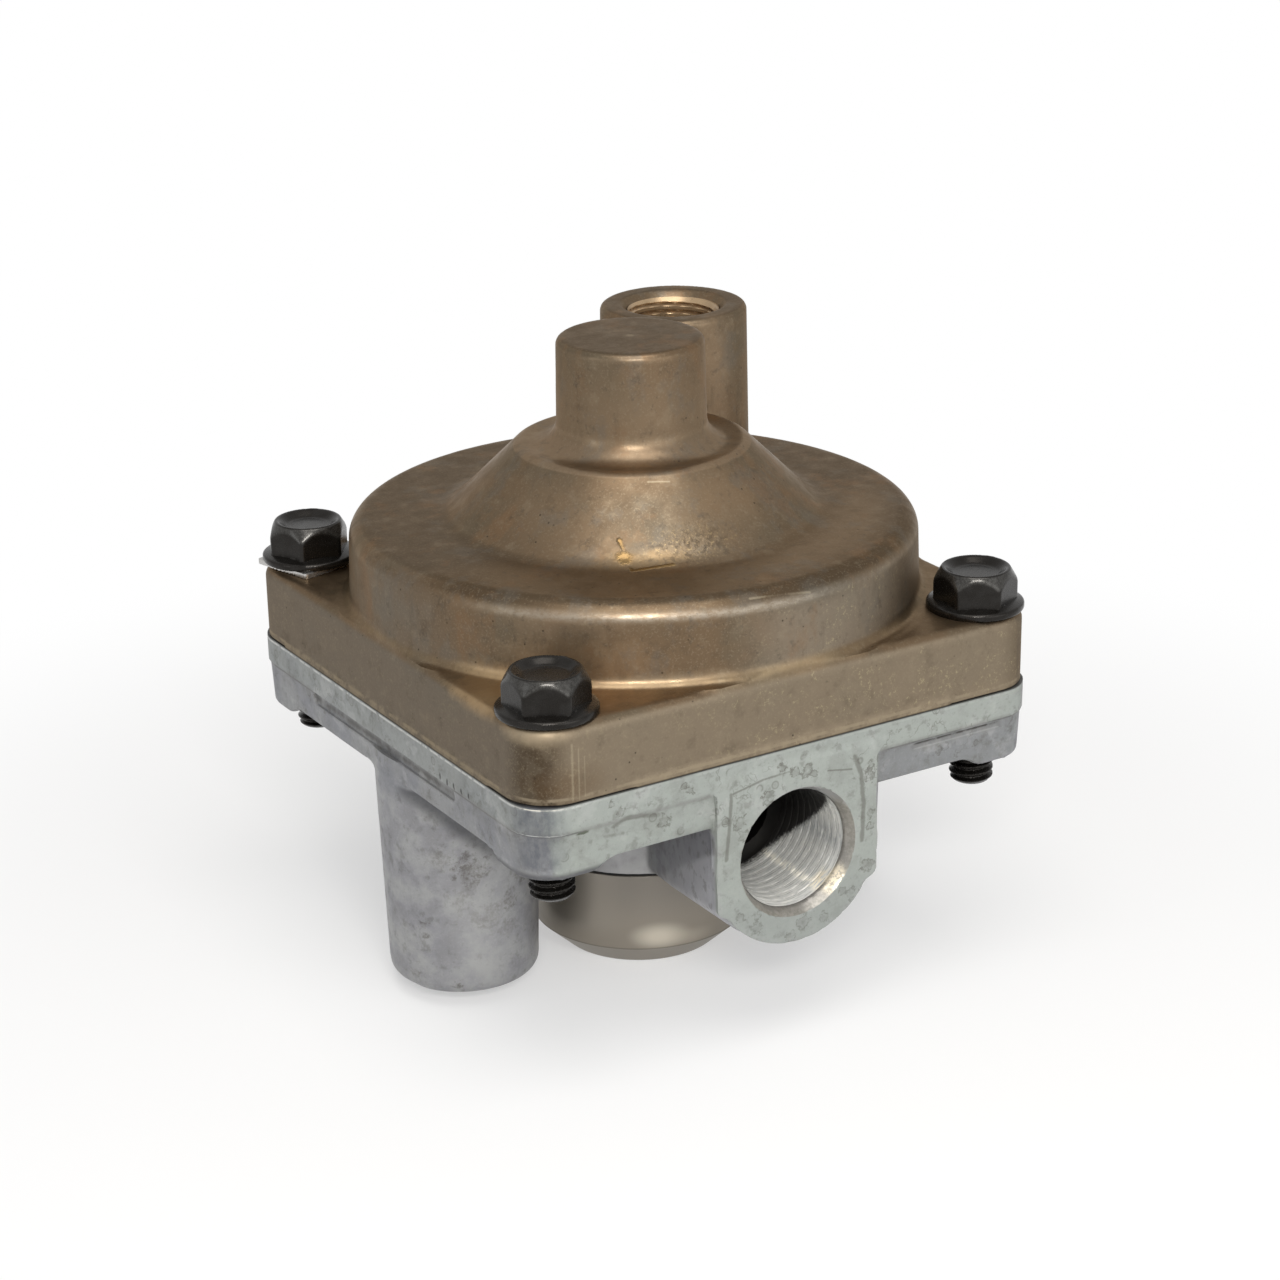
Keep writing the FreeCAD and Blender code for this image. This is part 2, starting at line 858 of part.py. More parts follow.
def make_piston_seal():
    size = piston_sizes()
    cord = piston_seal_cord - piston_running_clearance / 4
    ring_radius = size["radius"] - 2 * piston_seal_cord + cord
    return ring_of_cord(ring_radius + piston_running_clearance / 4, cord, size["groove_z"])


def make_spring(coil_radius, wire_radius, turns, low_z, high_z):
    """Round wire wound up in equal arcs between two seats, with a small gap to each of them."""
    start_z = low_z + wire_radius + spring_seat_gap
    height = high_z - low_z - 2 * wire_radius - 2 * spring_seat_gap

    def point(arcs):
        angle = 2 * math.pi * arcs / spring_arcs_per_turn
        rise = height * arcs / (turns * spring_arcs_per_turn)
        return Vector(
            coil_radius * math.cos(angle), coil_radius * math.sin(angle), start_z + rise
        )

    path = [
        Part.Arc(point(step), point(step + 0.5), point(step + 1)).toShape()
        for step in range(turns * spring_arcs_per_turn)
    ]
    start = path[0].Curve
    along = start.tangent(path[0].FirstParameter)[0]
    section = Part.Wire(Part.makeCircle(wire_radius, point(0), along))
    return Part.Wire(path).makePipeShell([section], True, True)


def make_piston_spring():
    return make_spring(
        piston_spring_radius,
        piston_spring_wire,
        piston_spring_turns,
        dish_floor_z,
        piston_sizes()["web_low_z"],
    )


def valve_heights():
    """Heights that the valve, its rubber, its washer and its spring share."""
    rubber_low_z = inlet_seat_z - valve_rubber_thickness
    head_low_z = rubber_low_z - valve_head_thickness
    return {
        "rubber_low_z": rubber_low_z,
        "head_low_z": head_low_z,
        "washer_low_z": head_low_z - spring_washer_thickness,
        "guide_low_z": body_bottom_z + guide_bottom_rise,
        "guide_flange_z": body_bottom_z + guide_bottom_rise + guide_flange_height,
    }


def make_inlet_exhaust_valve():
    size = valve_heights()
    return turned(
        [
            (valve_stem_bore, valve_stem_bottom_z),
            (valve_stem_radius - 0.5, valve_stem_bottom_z),
            (valve_stem_radius, valve_stem_bottom_z + 0.5),
            (valve_stem_radius, size["head_low_z"]),
            (valve_head_radius, size["head_low_z"], 0.4),
            (valve_head_radius, size["rubber_low_z"] + valve_head_lip_height),
            (valve_head_radius - valve_head_lip, size["rubber_low_z"] + valve_head_lip_height),
            (valve_head_radius - valve_head_lip, size["rubber_low_z"]),
            (valve_stem_bore, size["rubber_low_z"]),
        ]
    )


def make_valve_rubber():
    size = valve_heights()
    outer = valve_head_radius - valve_head_lip
    return turned(
        [
            (valve_rubber_inner_radius, size["rubber_low_z"]),
            (outer, size["rubber_low_z"]),
            (outer, inlet_seat_z, 0.3),
            (valve_rubber_inner_radius, inlet_seat_z, 0.3),
        ]
    )


def make_spring_washer():
    size = valve_heights()
    disc = cylinder(spring_washer_radius, size["washer_low_z"], size["head_low_z"])
    hole = cylinder(
        valve_stem_radius + guide_side_clearance, size["washer_low_z"], size["head_low_z"]
    )
    return disc.cut(hole)


def make_valve_spring():
    size = valve_heights()
    return make_spring(
        valve_spring_radius,
        valve_spring_wire,
        valve_spring_turns,
        size["guide_flange_z"],
        size["washer_low_z"],
    )


def guide_seal_sizes():
    """Places of the two round seals of the valve guide."""
    size = valve_heights()
    bore = valve_stem_radius + guide_stem_clearance
    return {
        "bore": bore,
        "outer_ring": chamber_radius - 0.02 - guide_outer_cord,
        "outer_z": size["guide_low_z"] + guide_flange_height / 2,
        "inner_ring": bore + guide_inner_cord,
        "inner_z": size["guide_low_z"] + guide_inner_seal_rise,
    }


def make_valve_guide():
    size = valve_heights()
    seal = guide_seal_sizes()
    outer = chamber_radius - guide_side_clearance
    outer_floor = seal["outer_ring"] - guide_outer_cord - 0.02
    outer_half = guide_outer_cord + 0.2
    inner_floor = seal["inner_ring"] + guide_inner_cord + 0.02
    inner_half = guide_inner_cord + 0.2
    hub_top_z = size["guide_low_z"] + guide_hub_height
    return turned(
        [
            (seal["bore"], size["guide_low_z"]),
            (outer, size["guide_low_z"]),
            (outer, seal["outer_z"] - outer_half),
            (outer_floor, seal["outer_z"] - outer_half),
            (outer_floor, seal["outer_z"] + outer_half),
            (outer, seal["outer_z"] + outer_half),
            (outer, size["guide_flange_z"]),
            (guide_hub_radius, size["guide_flange_z"]),
            (guide_hub_radius, hub_top_z, 0.6),
            (seal["bore"], hub_top_z),
            (seal["bore"], seal["inner_z"] + inner_half),
            (inner_floor, seal["inner_z"] + inner_half),
            (inner_floor, seal["inner_z"] - inner_half),
            (seal["bore"], seal["inner_z"] - inner_half),
        ]
    )


def make_guide_outer_seal():
    seal = guide_seal_sizes()
    return ring_of_cord(seal["outer_ring"], guide_outer_cord, seal["outer_z"])


def make_guide_inner_seal():
    seal = guide_seal_sizes()
    return ring_of_cord(seal["inner_ring"], guide_inner_cord, seal["inner_z"])


def make_guide_retaining_ring():
    """Flat spring ring in the body's groove, open at the back."""
    high_z = valve_heights()["guide_low_z"] - retaining_groove_gap
    low_z = high_z - retaining_ring_thickness
    ring = turned(
        [
            (retaining_ring_inner_radius, low_z),
            (retaining_ring_outer_radius, low_z),
            (retaining_ring_outer_radius, high_z),
            (retaining_ring_inner_radius, high_z),
        ],
        sweep=360.0 - retaining_ring_gap_angle,
    )
    ring.rotate(Vector(0, 0, 0), z_axis, 90.0 + retaining_ring_gap_angle / 2)
    return ring


def make_exhaust_cover():
    """Cup with a sharp lower edge, a bevelled lip, a flap seat on three arms and a snap neck."""
    neck_radius = chamber_radius - exhaust_neck_clearance
    neck_inner = neck_radius - exhaust_neck_wall
    neck_top_z = body_bottom_z + exhaust_neck_height
    lip_inner = exhaust_rim_radius - exhaust_rim_width
    floor_z = exhaust_seat_z + exhaust_seat_thickness
    inner = exhaust_cover_radius - exhaust_wall
    groove_z = body_bottom_z + wire_ring_rise
    groove_half = wire_ring_cord + wire_groove_gap
    cup = turned(
        [
            (lip_inner, 0),
            (exhaust_rim_radius, 0),
            (exhaust_edge_radius, exhaust_edge_z),
            (exhaust_cover_radius, exhaust_barrel_z, exhaust_barrel_curve),
            (exhaust_cover_radius, exhaust_cover_height, 0.3),
            (neck_radius, exhaust_cover_height),
            (neck_radius, groove_z - groove_half),
            (neck_radius - wire_ring_cord, groove_z - groove_half),
            (neck_radius - wire_ring_cord, groove_z + groove_half),
            (neck_radius, groove_z + groove_half),
            (neck_radius, neck_top_z),
            (neck_inner, neck_top_z),
            (neck_inner, exhaust_cover_height - exhaust_wall),
            (inner, exhaust_cover_height - exhaust_wall, 1.0),
            (inner, floor_z + 1.6),
            (inner - 1.6, floor_z),
            (exhaust_seat_radius, floor_z),
            (exhaust_seat_radius, exhaust_seat_z),
            (lip_inner, exhaust_seat_z),
        ]
    )
    spider = [cylinder(exhaust_hub_radius, exhaust_seat_z, floor_z)]
    for step in range(exhaust_arm_count):
        arm = box_between(
            (0, -exhaust_arm_width / 2, exhaust_seat_z),
            (exhaust_seat_radius + 0.5, exhaust_arm_width / 2, floor_z),
        )
        arm.rotate(Vector(0, 0, 0), z_axis, 90.0 + step * 360.0 / exhaust_arm_count)
        spider.append(arm)
    hole = cylinder(
        rivet_shank_radius + rivet_hole_clearance, exhaust_seat_z - overlap, floor_z + overlap
    )
    return cup.fuse(spider).cut(hole).removeSplitter()


def make_exhaust_cover_seal():
    inner = chamber_radius + seal_inset
    outer = exhaust_cover_radius - seal_inset
    disc = cylinder(outer, exhaust_cover_height, body_bottom_z)
    return disc.cut(cylinder(inner, exhaust_cover_height, body_bottom_z))


def make_cover_retaining_wire():
    """Round wire ring that snaps between the cover's neck and the body's groove."""
    ring = ring_of_cord(
        chamber_radius, wire_ring_cord, body_bottom_z + wire_ring_rise,
        360.0 - wire_ring_gap_angle,
    )
    ring.rotate(Vector(0, 0, 0), z_axis, 90.0 + wire_ring_gap_angle / 2)
    return ring


def make_exhaust_flap():
    low_z = exhaust_seat_z - flap_thickness
    disc = cylinder(flap_radius, low_z, exhaust_seat_z)
    hole = cylinder(rivet_shank_radius + rivet_hole_clearance, low_z, exhaust_seat_z)
    return disc.cut(hole)


def make_flap_rivet():
    head_z = exhaust_seat_z - flap_thickness
    tail_z = exhaust_seat_z + exhaust_seat_thickness
    return turned(
        [
            (0, head_z - rivet_head_thickness),
            (rivet_head_radius, head_z - rivet_head_thickness, 0.4),
            (rivet_head_radius, head_z),
            (rivet_shank_radius, head_z),
            (rivet_shank_radius, tail_z),
            (rivet_tail_radius, tail_z),
            (rivet_tail_radius, tail_z + rivet_head_thickness, 0.4),
            (0, tail_z + rivet_head_thickness),
        ]
    )


def main():
    makers = {
        "valve_body": make_valve_body,
        "control_cover": make_control_cover,
        "cover_bolts": make_cover_bolts,
        "square_washer": make_square_washer,
        "flange_seal_ring": make_flange_seal,
        "relay_piston": make_relay_piston,
        "piston_seal_ring": make_piston_seal,
        "piston_return_spring": make_piston_spring,
        "inlet_exhaust_valve": make_inlet_exhaust_valve,
        "valve_face_rubber": make_valve_rubber,
        "valve_spring_washer": make_spring_washer,
        "valve_spring": make_valve_spring,
        "valve_guide": make_valve_guide,
        "guide_outer_seal": make_guide_outer_seal,
        "guide_inner_seal": make_guide_inner_seal,
        "guide_retaining_ring": make_guide_retaining_ring,
        "exhaust_cover": make_exhaust_cover,
        "exhaust_cover_seal": make_exhaust_cover_seal,
        "cover_retaining_wire": make_cover_retaining_wire,
        "exhaust_flap": make_exhaust_flap,
        "flap_rivet": make_flap_rivet,
    }
    os.makedirs("parts", exist_ok=True)
    for name, make in makers.items():
        shape = make()
        bounds = shape.BoundBox
        print(name, len(shape.Solids), "valid" if shape.isValid() else "INVALID",
              round(shape.Volume, 1), len(shape.Faces),
              round(bounds.ZMin, 2), round(bounds.ZMax, 2))
        shape.exportStep("parts/" + name + ".step")


main()
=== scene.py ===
import json
import math

import bpy
import numpy as np
from mathutils import Matrix, Vector


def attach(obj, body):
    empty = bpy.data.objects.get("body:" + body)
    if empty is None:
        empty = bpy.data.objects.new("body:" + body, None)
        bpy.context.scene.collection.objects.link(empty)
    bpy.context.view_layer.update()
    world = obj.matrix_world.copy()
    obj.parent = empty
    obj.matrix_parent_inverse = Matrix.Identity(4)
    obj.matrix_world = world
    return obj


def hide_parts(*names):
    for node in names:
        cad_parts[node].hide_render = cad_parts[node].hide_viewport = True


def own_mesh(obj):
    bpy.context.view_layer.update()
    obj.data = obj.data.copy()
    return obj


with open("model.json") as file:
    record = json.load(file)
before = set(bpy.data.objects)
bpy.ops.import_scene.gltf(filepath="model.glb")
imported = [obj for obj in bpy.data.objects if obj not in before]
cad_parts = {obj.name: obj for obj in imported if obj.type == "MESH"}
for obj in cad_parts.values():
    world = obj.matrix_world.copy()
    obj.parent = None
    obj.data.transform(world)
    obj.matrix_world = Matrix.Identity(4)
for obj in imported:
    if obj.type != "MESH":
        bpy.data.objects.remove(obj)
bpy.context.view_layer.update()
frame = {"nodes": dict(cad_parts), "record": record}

nodes = frame["nodes"]
single = np.float32

# Heights and sizes in millimetres, as the CAD model has them
split_z = 54.9
mould_z = 49.7
under_z = 43.2
cover_top_z = 68.4
half = 52.0
bolt_offset = 43.6
port_z = 35.2
face_y = -52.4
tube_x = 37.7
tube_low_z = 2.9
control_x = 24.2
control_top_z = 111.6
half_inch_pitch = 1.814
small_pitch = 1.411
pipe_taper = 0.03


def rounded_profile(corners, step=0.35):
    """Points of a closed (radius, height) outline whose corners may carry a rounding radius."""
    points = []
    count = len(corners)
    for index, corner in enumerate(corners):
        point = np.array(corner[:2], float)
        radius = corner[2] if len(corner) > 2 else 0
        if radius <= 0:
            points.append(point)
            continue
        before = np.array(corners[index - 1][:2], float) - point
        after = np.array(corners[(index + 1) % count][:2], float) - point
        before /= np.linalg.norm(before)
        after /= np.linalg.norm(after)
        half_angle = np.arccos(np.clip(before @ after, -1, 1)) / 2
        reach = radius / np.tan(half_angle)
        inward = before + after
        inward /= np.linalg.norm(inward)
        centre = point + inward * radius / np.sin(half_angle)
        first = point + before * reach - centre
        last = point + after * reach - centre
        angle = np.arctan2(first[1], first[0])
        turn = (np.arctan2(last[1], last[0]) - angle + np.pi) % (2 * np.pi) - np.pi
        steps = max(3, int(np.ceil(abs(turn) * max(radius, 1.0) / step)), int(np.ceil(abs(turn) / 0.12)))
        for k in range(steps + 1):
            t = angle + turn * k / steps
            points.append(centre + radius * np.array([np.cos(t), np.sin(t)]))
    return np.array(points)


def outline_distance(r, z, outline):
    """Distance to a closed outline, negative inside it."""
    best = np.full(r.shape, 1e9, single)
    inside = np.zeros(r.shape, bool)
    for index in range(len(outline)):
        ax, az = outline[index - 1]
        bx, bz = outline[index]
        ex, ez = bx - ax, bz - az
        length = ex * ex + ez * ez
        if length < 1e-12:
            continue
        wx, wz = r - ax, z - az
        t = np.clip((wx * ex + wz * ez) / length, 0, 1)
        dx, dz = wx - ex * t, wz - ez * t
        np.minimum(best, dx * dx + dz * dz, out=best)
        if ez != 0:
            crossing = (z >= min(az, bz)) & (z < max(az, bz))
            inside ^= crossing & (wx < wz * (ex / ez))
    best = np.sqrt(best)
    return np.where(inside, -best, best)


class Turned:
    """Distance to a solid turned about a vertical axis. A table serves the first, coarse pass."""

    def __init__(self, corners, centre=(0, 0), pitch=0.25, margin=15):
        outline = rounded_profile(corners)
        self.outline = outline.tolist()
        self.centre = centre
        self.pitch = pitch
        self.low_z = float(outline[:, 1].min()) - margin
        reach = outline[:, 0].max() + 2 * margin
        top = outline[:, 1].max() + margin
        self.size = (int(reach / pitch) + 2, int((top - self.low_z) / pitch) + 2)
        radii = (pitch * np.arange(self.size[0])).astype(single)
        heights = (self.low_z + pitch * np.arange(self.size[1])).astype(single)
        grid = np.meshgrid(radii, heights, indexing="ij")
        self.table = outline_distance(grid[0], grid[1], self.outline)

    def __call__(self, x, y, z, exact):
        r = np.sqrt((x - self.centre[0]) ** 2 + (y - self.centre[1]) ** 2)
        if exact:
            return outline_distance(r, z, self.outline)
        r, z = np.broadcast_arrays(r, z)
        u = np.clip(r / self.pitch, 0, self.size[0] - 1.001)
        w = np.clip((z - self.low_z) / self.pitch, 0, self.size[1] - 1.001)
        i = u.astype(np.int32)
        j = w.astype(np.int32)
        u = u - i
        w = w - j
        table = self.table
        low = table[i, j] * (1 - u) + table[i + 1, j] * u
        high = table[i, j + 1] * (1 - u) + table[i + 1, j + 1] * u
        return low * (1 - w) + high * w


def rounded_square(x, y, reach, radius):
    qx = np.abs(x) - (reach - radius)
    qy = np.abs(y) - (reach - radius)
    outside = np.sqrt(np.maximum(qx, 0) ** 2 + np.maximum(qy, 0) ** 2)
    return outside + np.minimum(np.maximum(qx, qy), 0) - radius


def join(a, b, radius):
    """Union with a fillet."""
    u = np.maximum(radius - a, 0)
    w = np.maximum(radius - b, 0)
    return np.maximum(radius, np.minimum(a, b)) - np.sqrt(u * u + w * w)


def meet(a, b, radius):
    """Common part with a rounded edge."""
    u = np.maximum(radius + a, 0)
    w = np.maximum(radius + b, 0)
    return np.minimum(-radius, np.maximum(a, b)) + np.sqrt(u * u + w * w)


def carve(a, b, radius):
    return meet(a, -b, radius)


def round_hole(x, y, centre, radius):
    return np.sqrt((x - centre[0]) ** 2 + (y - centre[1]) ** 2) - radius


def gradient(shape, p, h=0.02):
    x, y, z = p[:, 0], p[:, 1], p[:, 2]
    return np.stack(
        [
            shape(x + h, y, z, True) - shape(x - h, y, z, True),
            shape(x, y + h, z, True) - shape(x, y - h, z, True),
            shape(x, y, z + h, True) - shape(x, y, z - h, True),
        ],
        1,
    ) / (2 * h)


def unit(vectors):
    return vectors / np.maximum(np.linalg.norm(vectors, axis=1), 1e-6)[:, None]


def skin(shape, low, high, cell, steps=4):
    """Even quads over the surface where shape is 0, with vertices on its creases."""
    low = np.array(low, float)
    high = np.array(high, float)
    n = np.ceil((high - low) / cell).astype(int) + 1
    x = (low[0] + cell * np.arange(n[0])).astype(single)[:, None, None]
    y = (low[1] + cell * np.arange(n[1])).astype(single)[None, :, None]
    field = np.empty(n, single)
    for k in range(0, n[2], 24):
        last = min(n[2], k + 24)
        z = (low[2] + cell * np.arange(k, last)).astype(single)[None, None, :]
        field[:, :, k:last] = np.broadcast_to(shape(x, y, z, False), (n[0], n[1], last - k))
    inside = field < 0
    count = np.zeros(tuple(n - 1), np.int8)
    for a, b, c in np.ndindex(2, 2, 2):
        count += inside[a:n[0] - 1 + a, b:n[1] - 1 + b, c:n[2] - 1 + c]
    active = (count > 0) & (count < 8)
    cells = np.argwhere(active)
    number = np.full(active.shape, -1, np.int32)
    number[active] = np.arange(len(cells))

    # Each grid edge that crosses the surface gives a quad and a tangent plane to its four cells
    total = np.zeros((len(cells), 3))
    facing = np.zeros((len(cells), 3))
    square = np.zeros((len(cells), 3, 3))
    pull = np.zeros((len(cells), 3))
    weight = np.zeros(len(cells))
    quads = []
    for axis in range(3):
        u, w = [(1, 2), (2, 0), (0, 1)][axis]
        ahead = np.eye(3, dtype=int)[axis]
        near = inside[tuple(slice(0, n[k] - ahead[k]) for k in range(3))]
        far = inside[tuple(slice(ahead[k], n[k]) for k in range(3))]
        edges = np.argwhere(near != far)
        within = (edges[:, [u, w]] > 0) & (edges[:, [u, w]] < n[[u, w]] - 1)
        edges = edges[within.all(1)]
        first = field[tuple(edges.T)]
        second = field[tuple((edges + ahead).T)]
        point = edges.astype(float)
        point[:, axis] += first / (first - second)
        point = low + point * cell
        g = gradient(shape, point.astype(single))
        p = point.astype(single)
        slope = np.where(np.abs(g[:, axis]) > 0.3, g[:, axis], 1e9)
        point[:, axis] -= np.clip(shape(p[:, 0], p[:, 1], p[:, 2], True) / slope, -0.3 * cell, 0.3 * cell)
        normal = unit(g)
        outer = normal[:, :, None] * normal[:, None, :]
        share = normal * (normal * point).sum(1)[:, None]
        ring = []
        for du, dw in ((-1, -1), (0, -1), (0, 0), (-1, 0)):
            c = edges.copy()
            c[:, u] += du
            c[:, w] += dw
            index = number[tuple(c.T)]
            ring.append(index)
            np.add.at(total, index, point)
            np.add.at(facing, index, normal)
            np.add.at(square, index, outer)
            np.add.at(pull, index, share)
            np.add.at(weight, index, 1)
        ring = np.stack(ring, 1)
        quads.append(np.where((first < 0)[:, None], ring, ring[:, ::-1]))
    quads = np.concatenate(quads)
    points = total / weight[:, None]
    crease = np.linalg.norm(facing, axis=1) / weight < 0.93
    matrix = square + (0.01 * weight)[:, None, None] * np.eye(3)
    offset = pull - np.einsum("nij,nj->ni", square, points)
    snapped = points + np.linalg.solve(matrix, offset[:, :, None])[:, :, 0]
    centre = low + (cells + 0.5) * cell
    snapped = centre + np.clip(snapped - centre, -0.7 * cell, 0.7 * cell)
    points[crease] = snapped[crease]
    free = np.flatnonzero(~crease)
    for step in range(steps):
        p = points[free].astype(single)
        d = shape(p[:, 0], p[:, 1], p[:, 2], True)
        g = gradient(shape, p)
        steep = np.maximum((g * g).sum(1), 0.2)
        points[free] -= np.clip(d, -0.5 * cell, 0.5 * cell)[:, None] * g / steep[:, None]
        if step < steps - 1:
            mean = np.zeros_like(points)
            near_count = np.zeros(len(points))
            for a in range(4):
                for b in (1, 3):
                    np.add.at(mean, quads[:, a], points[quads[:, (a + b) % 4]])
                    np.add.at(near_count, quads[:, a], 1)
            mean /= np.maximum(near_count, 1)[:, None]
            normal = g / np.sqrt(steep)[:, None]
            slide = mean[free] - points[free]
            slide -= (slide * normal).sum(1)[:, None] * normal
            points[free] += 0.35 * slide
    return points, quads


def lattice_noise(p, scale, seed):
    """Smooth noise between -1 and 1 with features of about scale millimetres."""
    q = np.asarray(p, float) / scale
    i = np.floor(q).astype(np.int64)
    f = q - i
    f = f * f * (3 - 2 * f)
    value = np.zeros(len(q))
    for corner in np.ndindex(2, 2, 2):
        h = (i + corner) @ np.array([374761393, 668265263, 2147483647])
        h = (h + seed * 1442695041) & 0xFFFFFFFF
        h = ((h ^ (h >> 13)) * 1274126177) & 0xFFFFFFFF
        h = (h ^ (h >> 16)) & 0xFFFF
        share = np.where(corner, f, 1 - f).prod(1)
        value += share * (h / 32767.5 - 1)
    return value


def mesh_piece(name, points, quads, keep=None):
    """Blender object from points in millimetres and quads."""
    if keep is not None:
        quads = quads[keep]
    used, inverse = np.unique(quads.ravel(), return_inverse=True)
    points = points[used] * 0.001
    quads = inverse.reshape(quads.shape)
    mesh = bpy.data.meshes.new(name)
    mesh.vertices.add(len(points))
    mesh.vertices.foreach_set("co", points.astype(single).ravel())
    mesh.loops.add(quads.size)
    mesh.loops.foreach_set("vertex_index", quads.astype(np.int32).ravel())
    mesh.polygons.add(len(quads))
    mesh.polygons.foreach_set("loop_start", np.arange(0, quads.size, 4, dtype=np.int32))
    mesh.polygons.foreach_set("loop_total", np.full(len(quads), 4, np.int32))
    mesh.update(calc_edges=True)
    mesh.validate()
    mesh.polygons.foreach_set("use_smooth", np.ones(len(mesh.polygons), bool))
    mesh.set_sharp_from_angle(angle=math.radians(38))
    piece = bpy.data.objects.new(name, mesh)
    bpy.context.scene.collection.objects.link(piece)
    return piece, used


def cast_surface(points, shape):
    """The slight unevenness of a die casting, along the surface's normal."""
    bump = 0.014 * lattice_noise(points, 9.0, 3) + 0.008 * lattice_noise(points, 3.1, 5)
    bump = bump + 0.004 * lattice_noise(points, 1.3, 7)
    return points + unit(gradient(shape, points.astype(single))) * bump[:, None]


def shape_masks(piece, points, shape, inner, outer):
    """Masks for wear with painted edge highlights and for darkening in corners, kept with the vertices: 1
    at convex edges, 1 in inner corners.
    """
    p = points.astype(single)
    g = unit(gradient(shape, p))
    q = p - inner * g
    edge = 1 + shape(q[:, 0], q[:, 1], q[:, 2], True) / inner
    q = p + outer * g
    hollow = 1 - shape(q[:, 0], q[:, 1], q[:, 2], True) / outer
    for name, values in (("edge", edge), ("hollow", hollow)):
        layer = piece.data.attributes.new(name, "FLOAT", "POINT")
        layer.data.foreach_set("value", np.clip(values * 1.6, 0, 1).astype(single))


# Control cover
cover_tower = Turned(
    [
        (0, 60), (53.6, 60), (53.6, 68.4), (51.25, 68.4, 2.2), (50.8, 83.0, 3.8), (33.2, 83.3, 6.0),
        (20.4, 95.9, 2.3), (13.45, 95.4, 4.2), (13.1, 114.6, 1.3), (0, 114.6),
    ]
)
control_centre = (control_x, control_x)
cover_port = Turned([(0, 70), (14.1, 70), (13.6, control_top_z, 1.2), (0, control_top_z)], control_centre)


def cover_shape(x, y, z, exact):
    side = rounded_square(x, y, 51.9, 8.3)
    plate = meet(side, z - cover_top_z, 2.0)
    tower = meet(cover_tower(x, y, z, exact), side + 0.35, 0.35)
    d = join(plate, tower, 0.5)
    d = join(d, cover_port(x, y, z, exact), 2.0)
    top = z - 56.05
    front = np.maximum(np.maximum(np.abs(x) - 32.2, np.abs(y) - 52.2), top)
    flank = np.maximum(np.maximum(np.abs(y) - 38.3, np.abs(x) - 52.2), top)
    d = join(d, np.minimum(front, flank), 0.2)
    d = meet(d, split_z + 0.03 - z, 0.35)
    bore = round_hole(x, y, control_centre, 8.55)
    mouth = bore - np.maximum(z - (control_top_z - 1.25), 0)
    bore = np.maximum(np.minimum(bore, mouth), 95.6 - z)
    passage = np.maximum(round_hole(x, y, control_centre, 3.5), 80 - z)
    return carve(d, np.minimum(bore, passage), 0.3)


# Valve body
tube = Turned([(0, tube_low_z), (13.3, tube_low_z, 2.0), (14.45, 48.4), (0, 48.4)], (tube_x, 0))


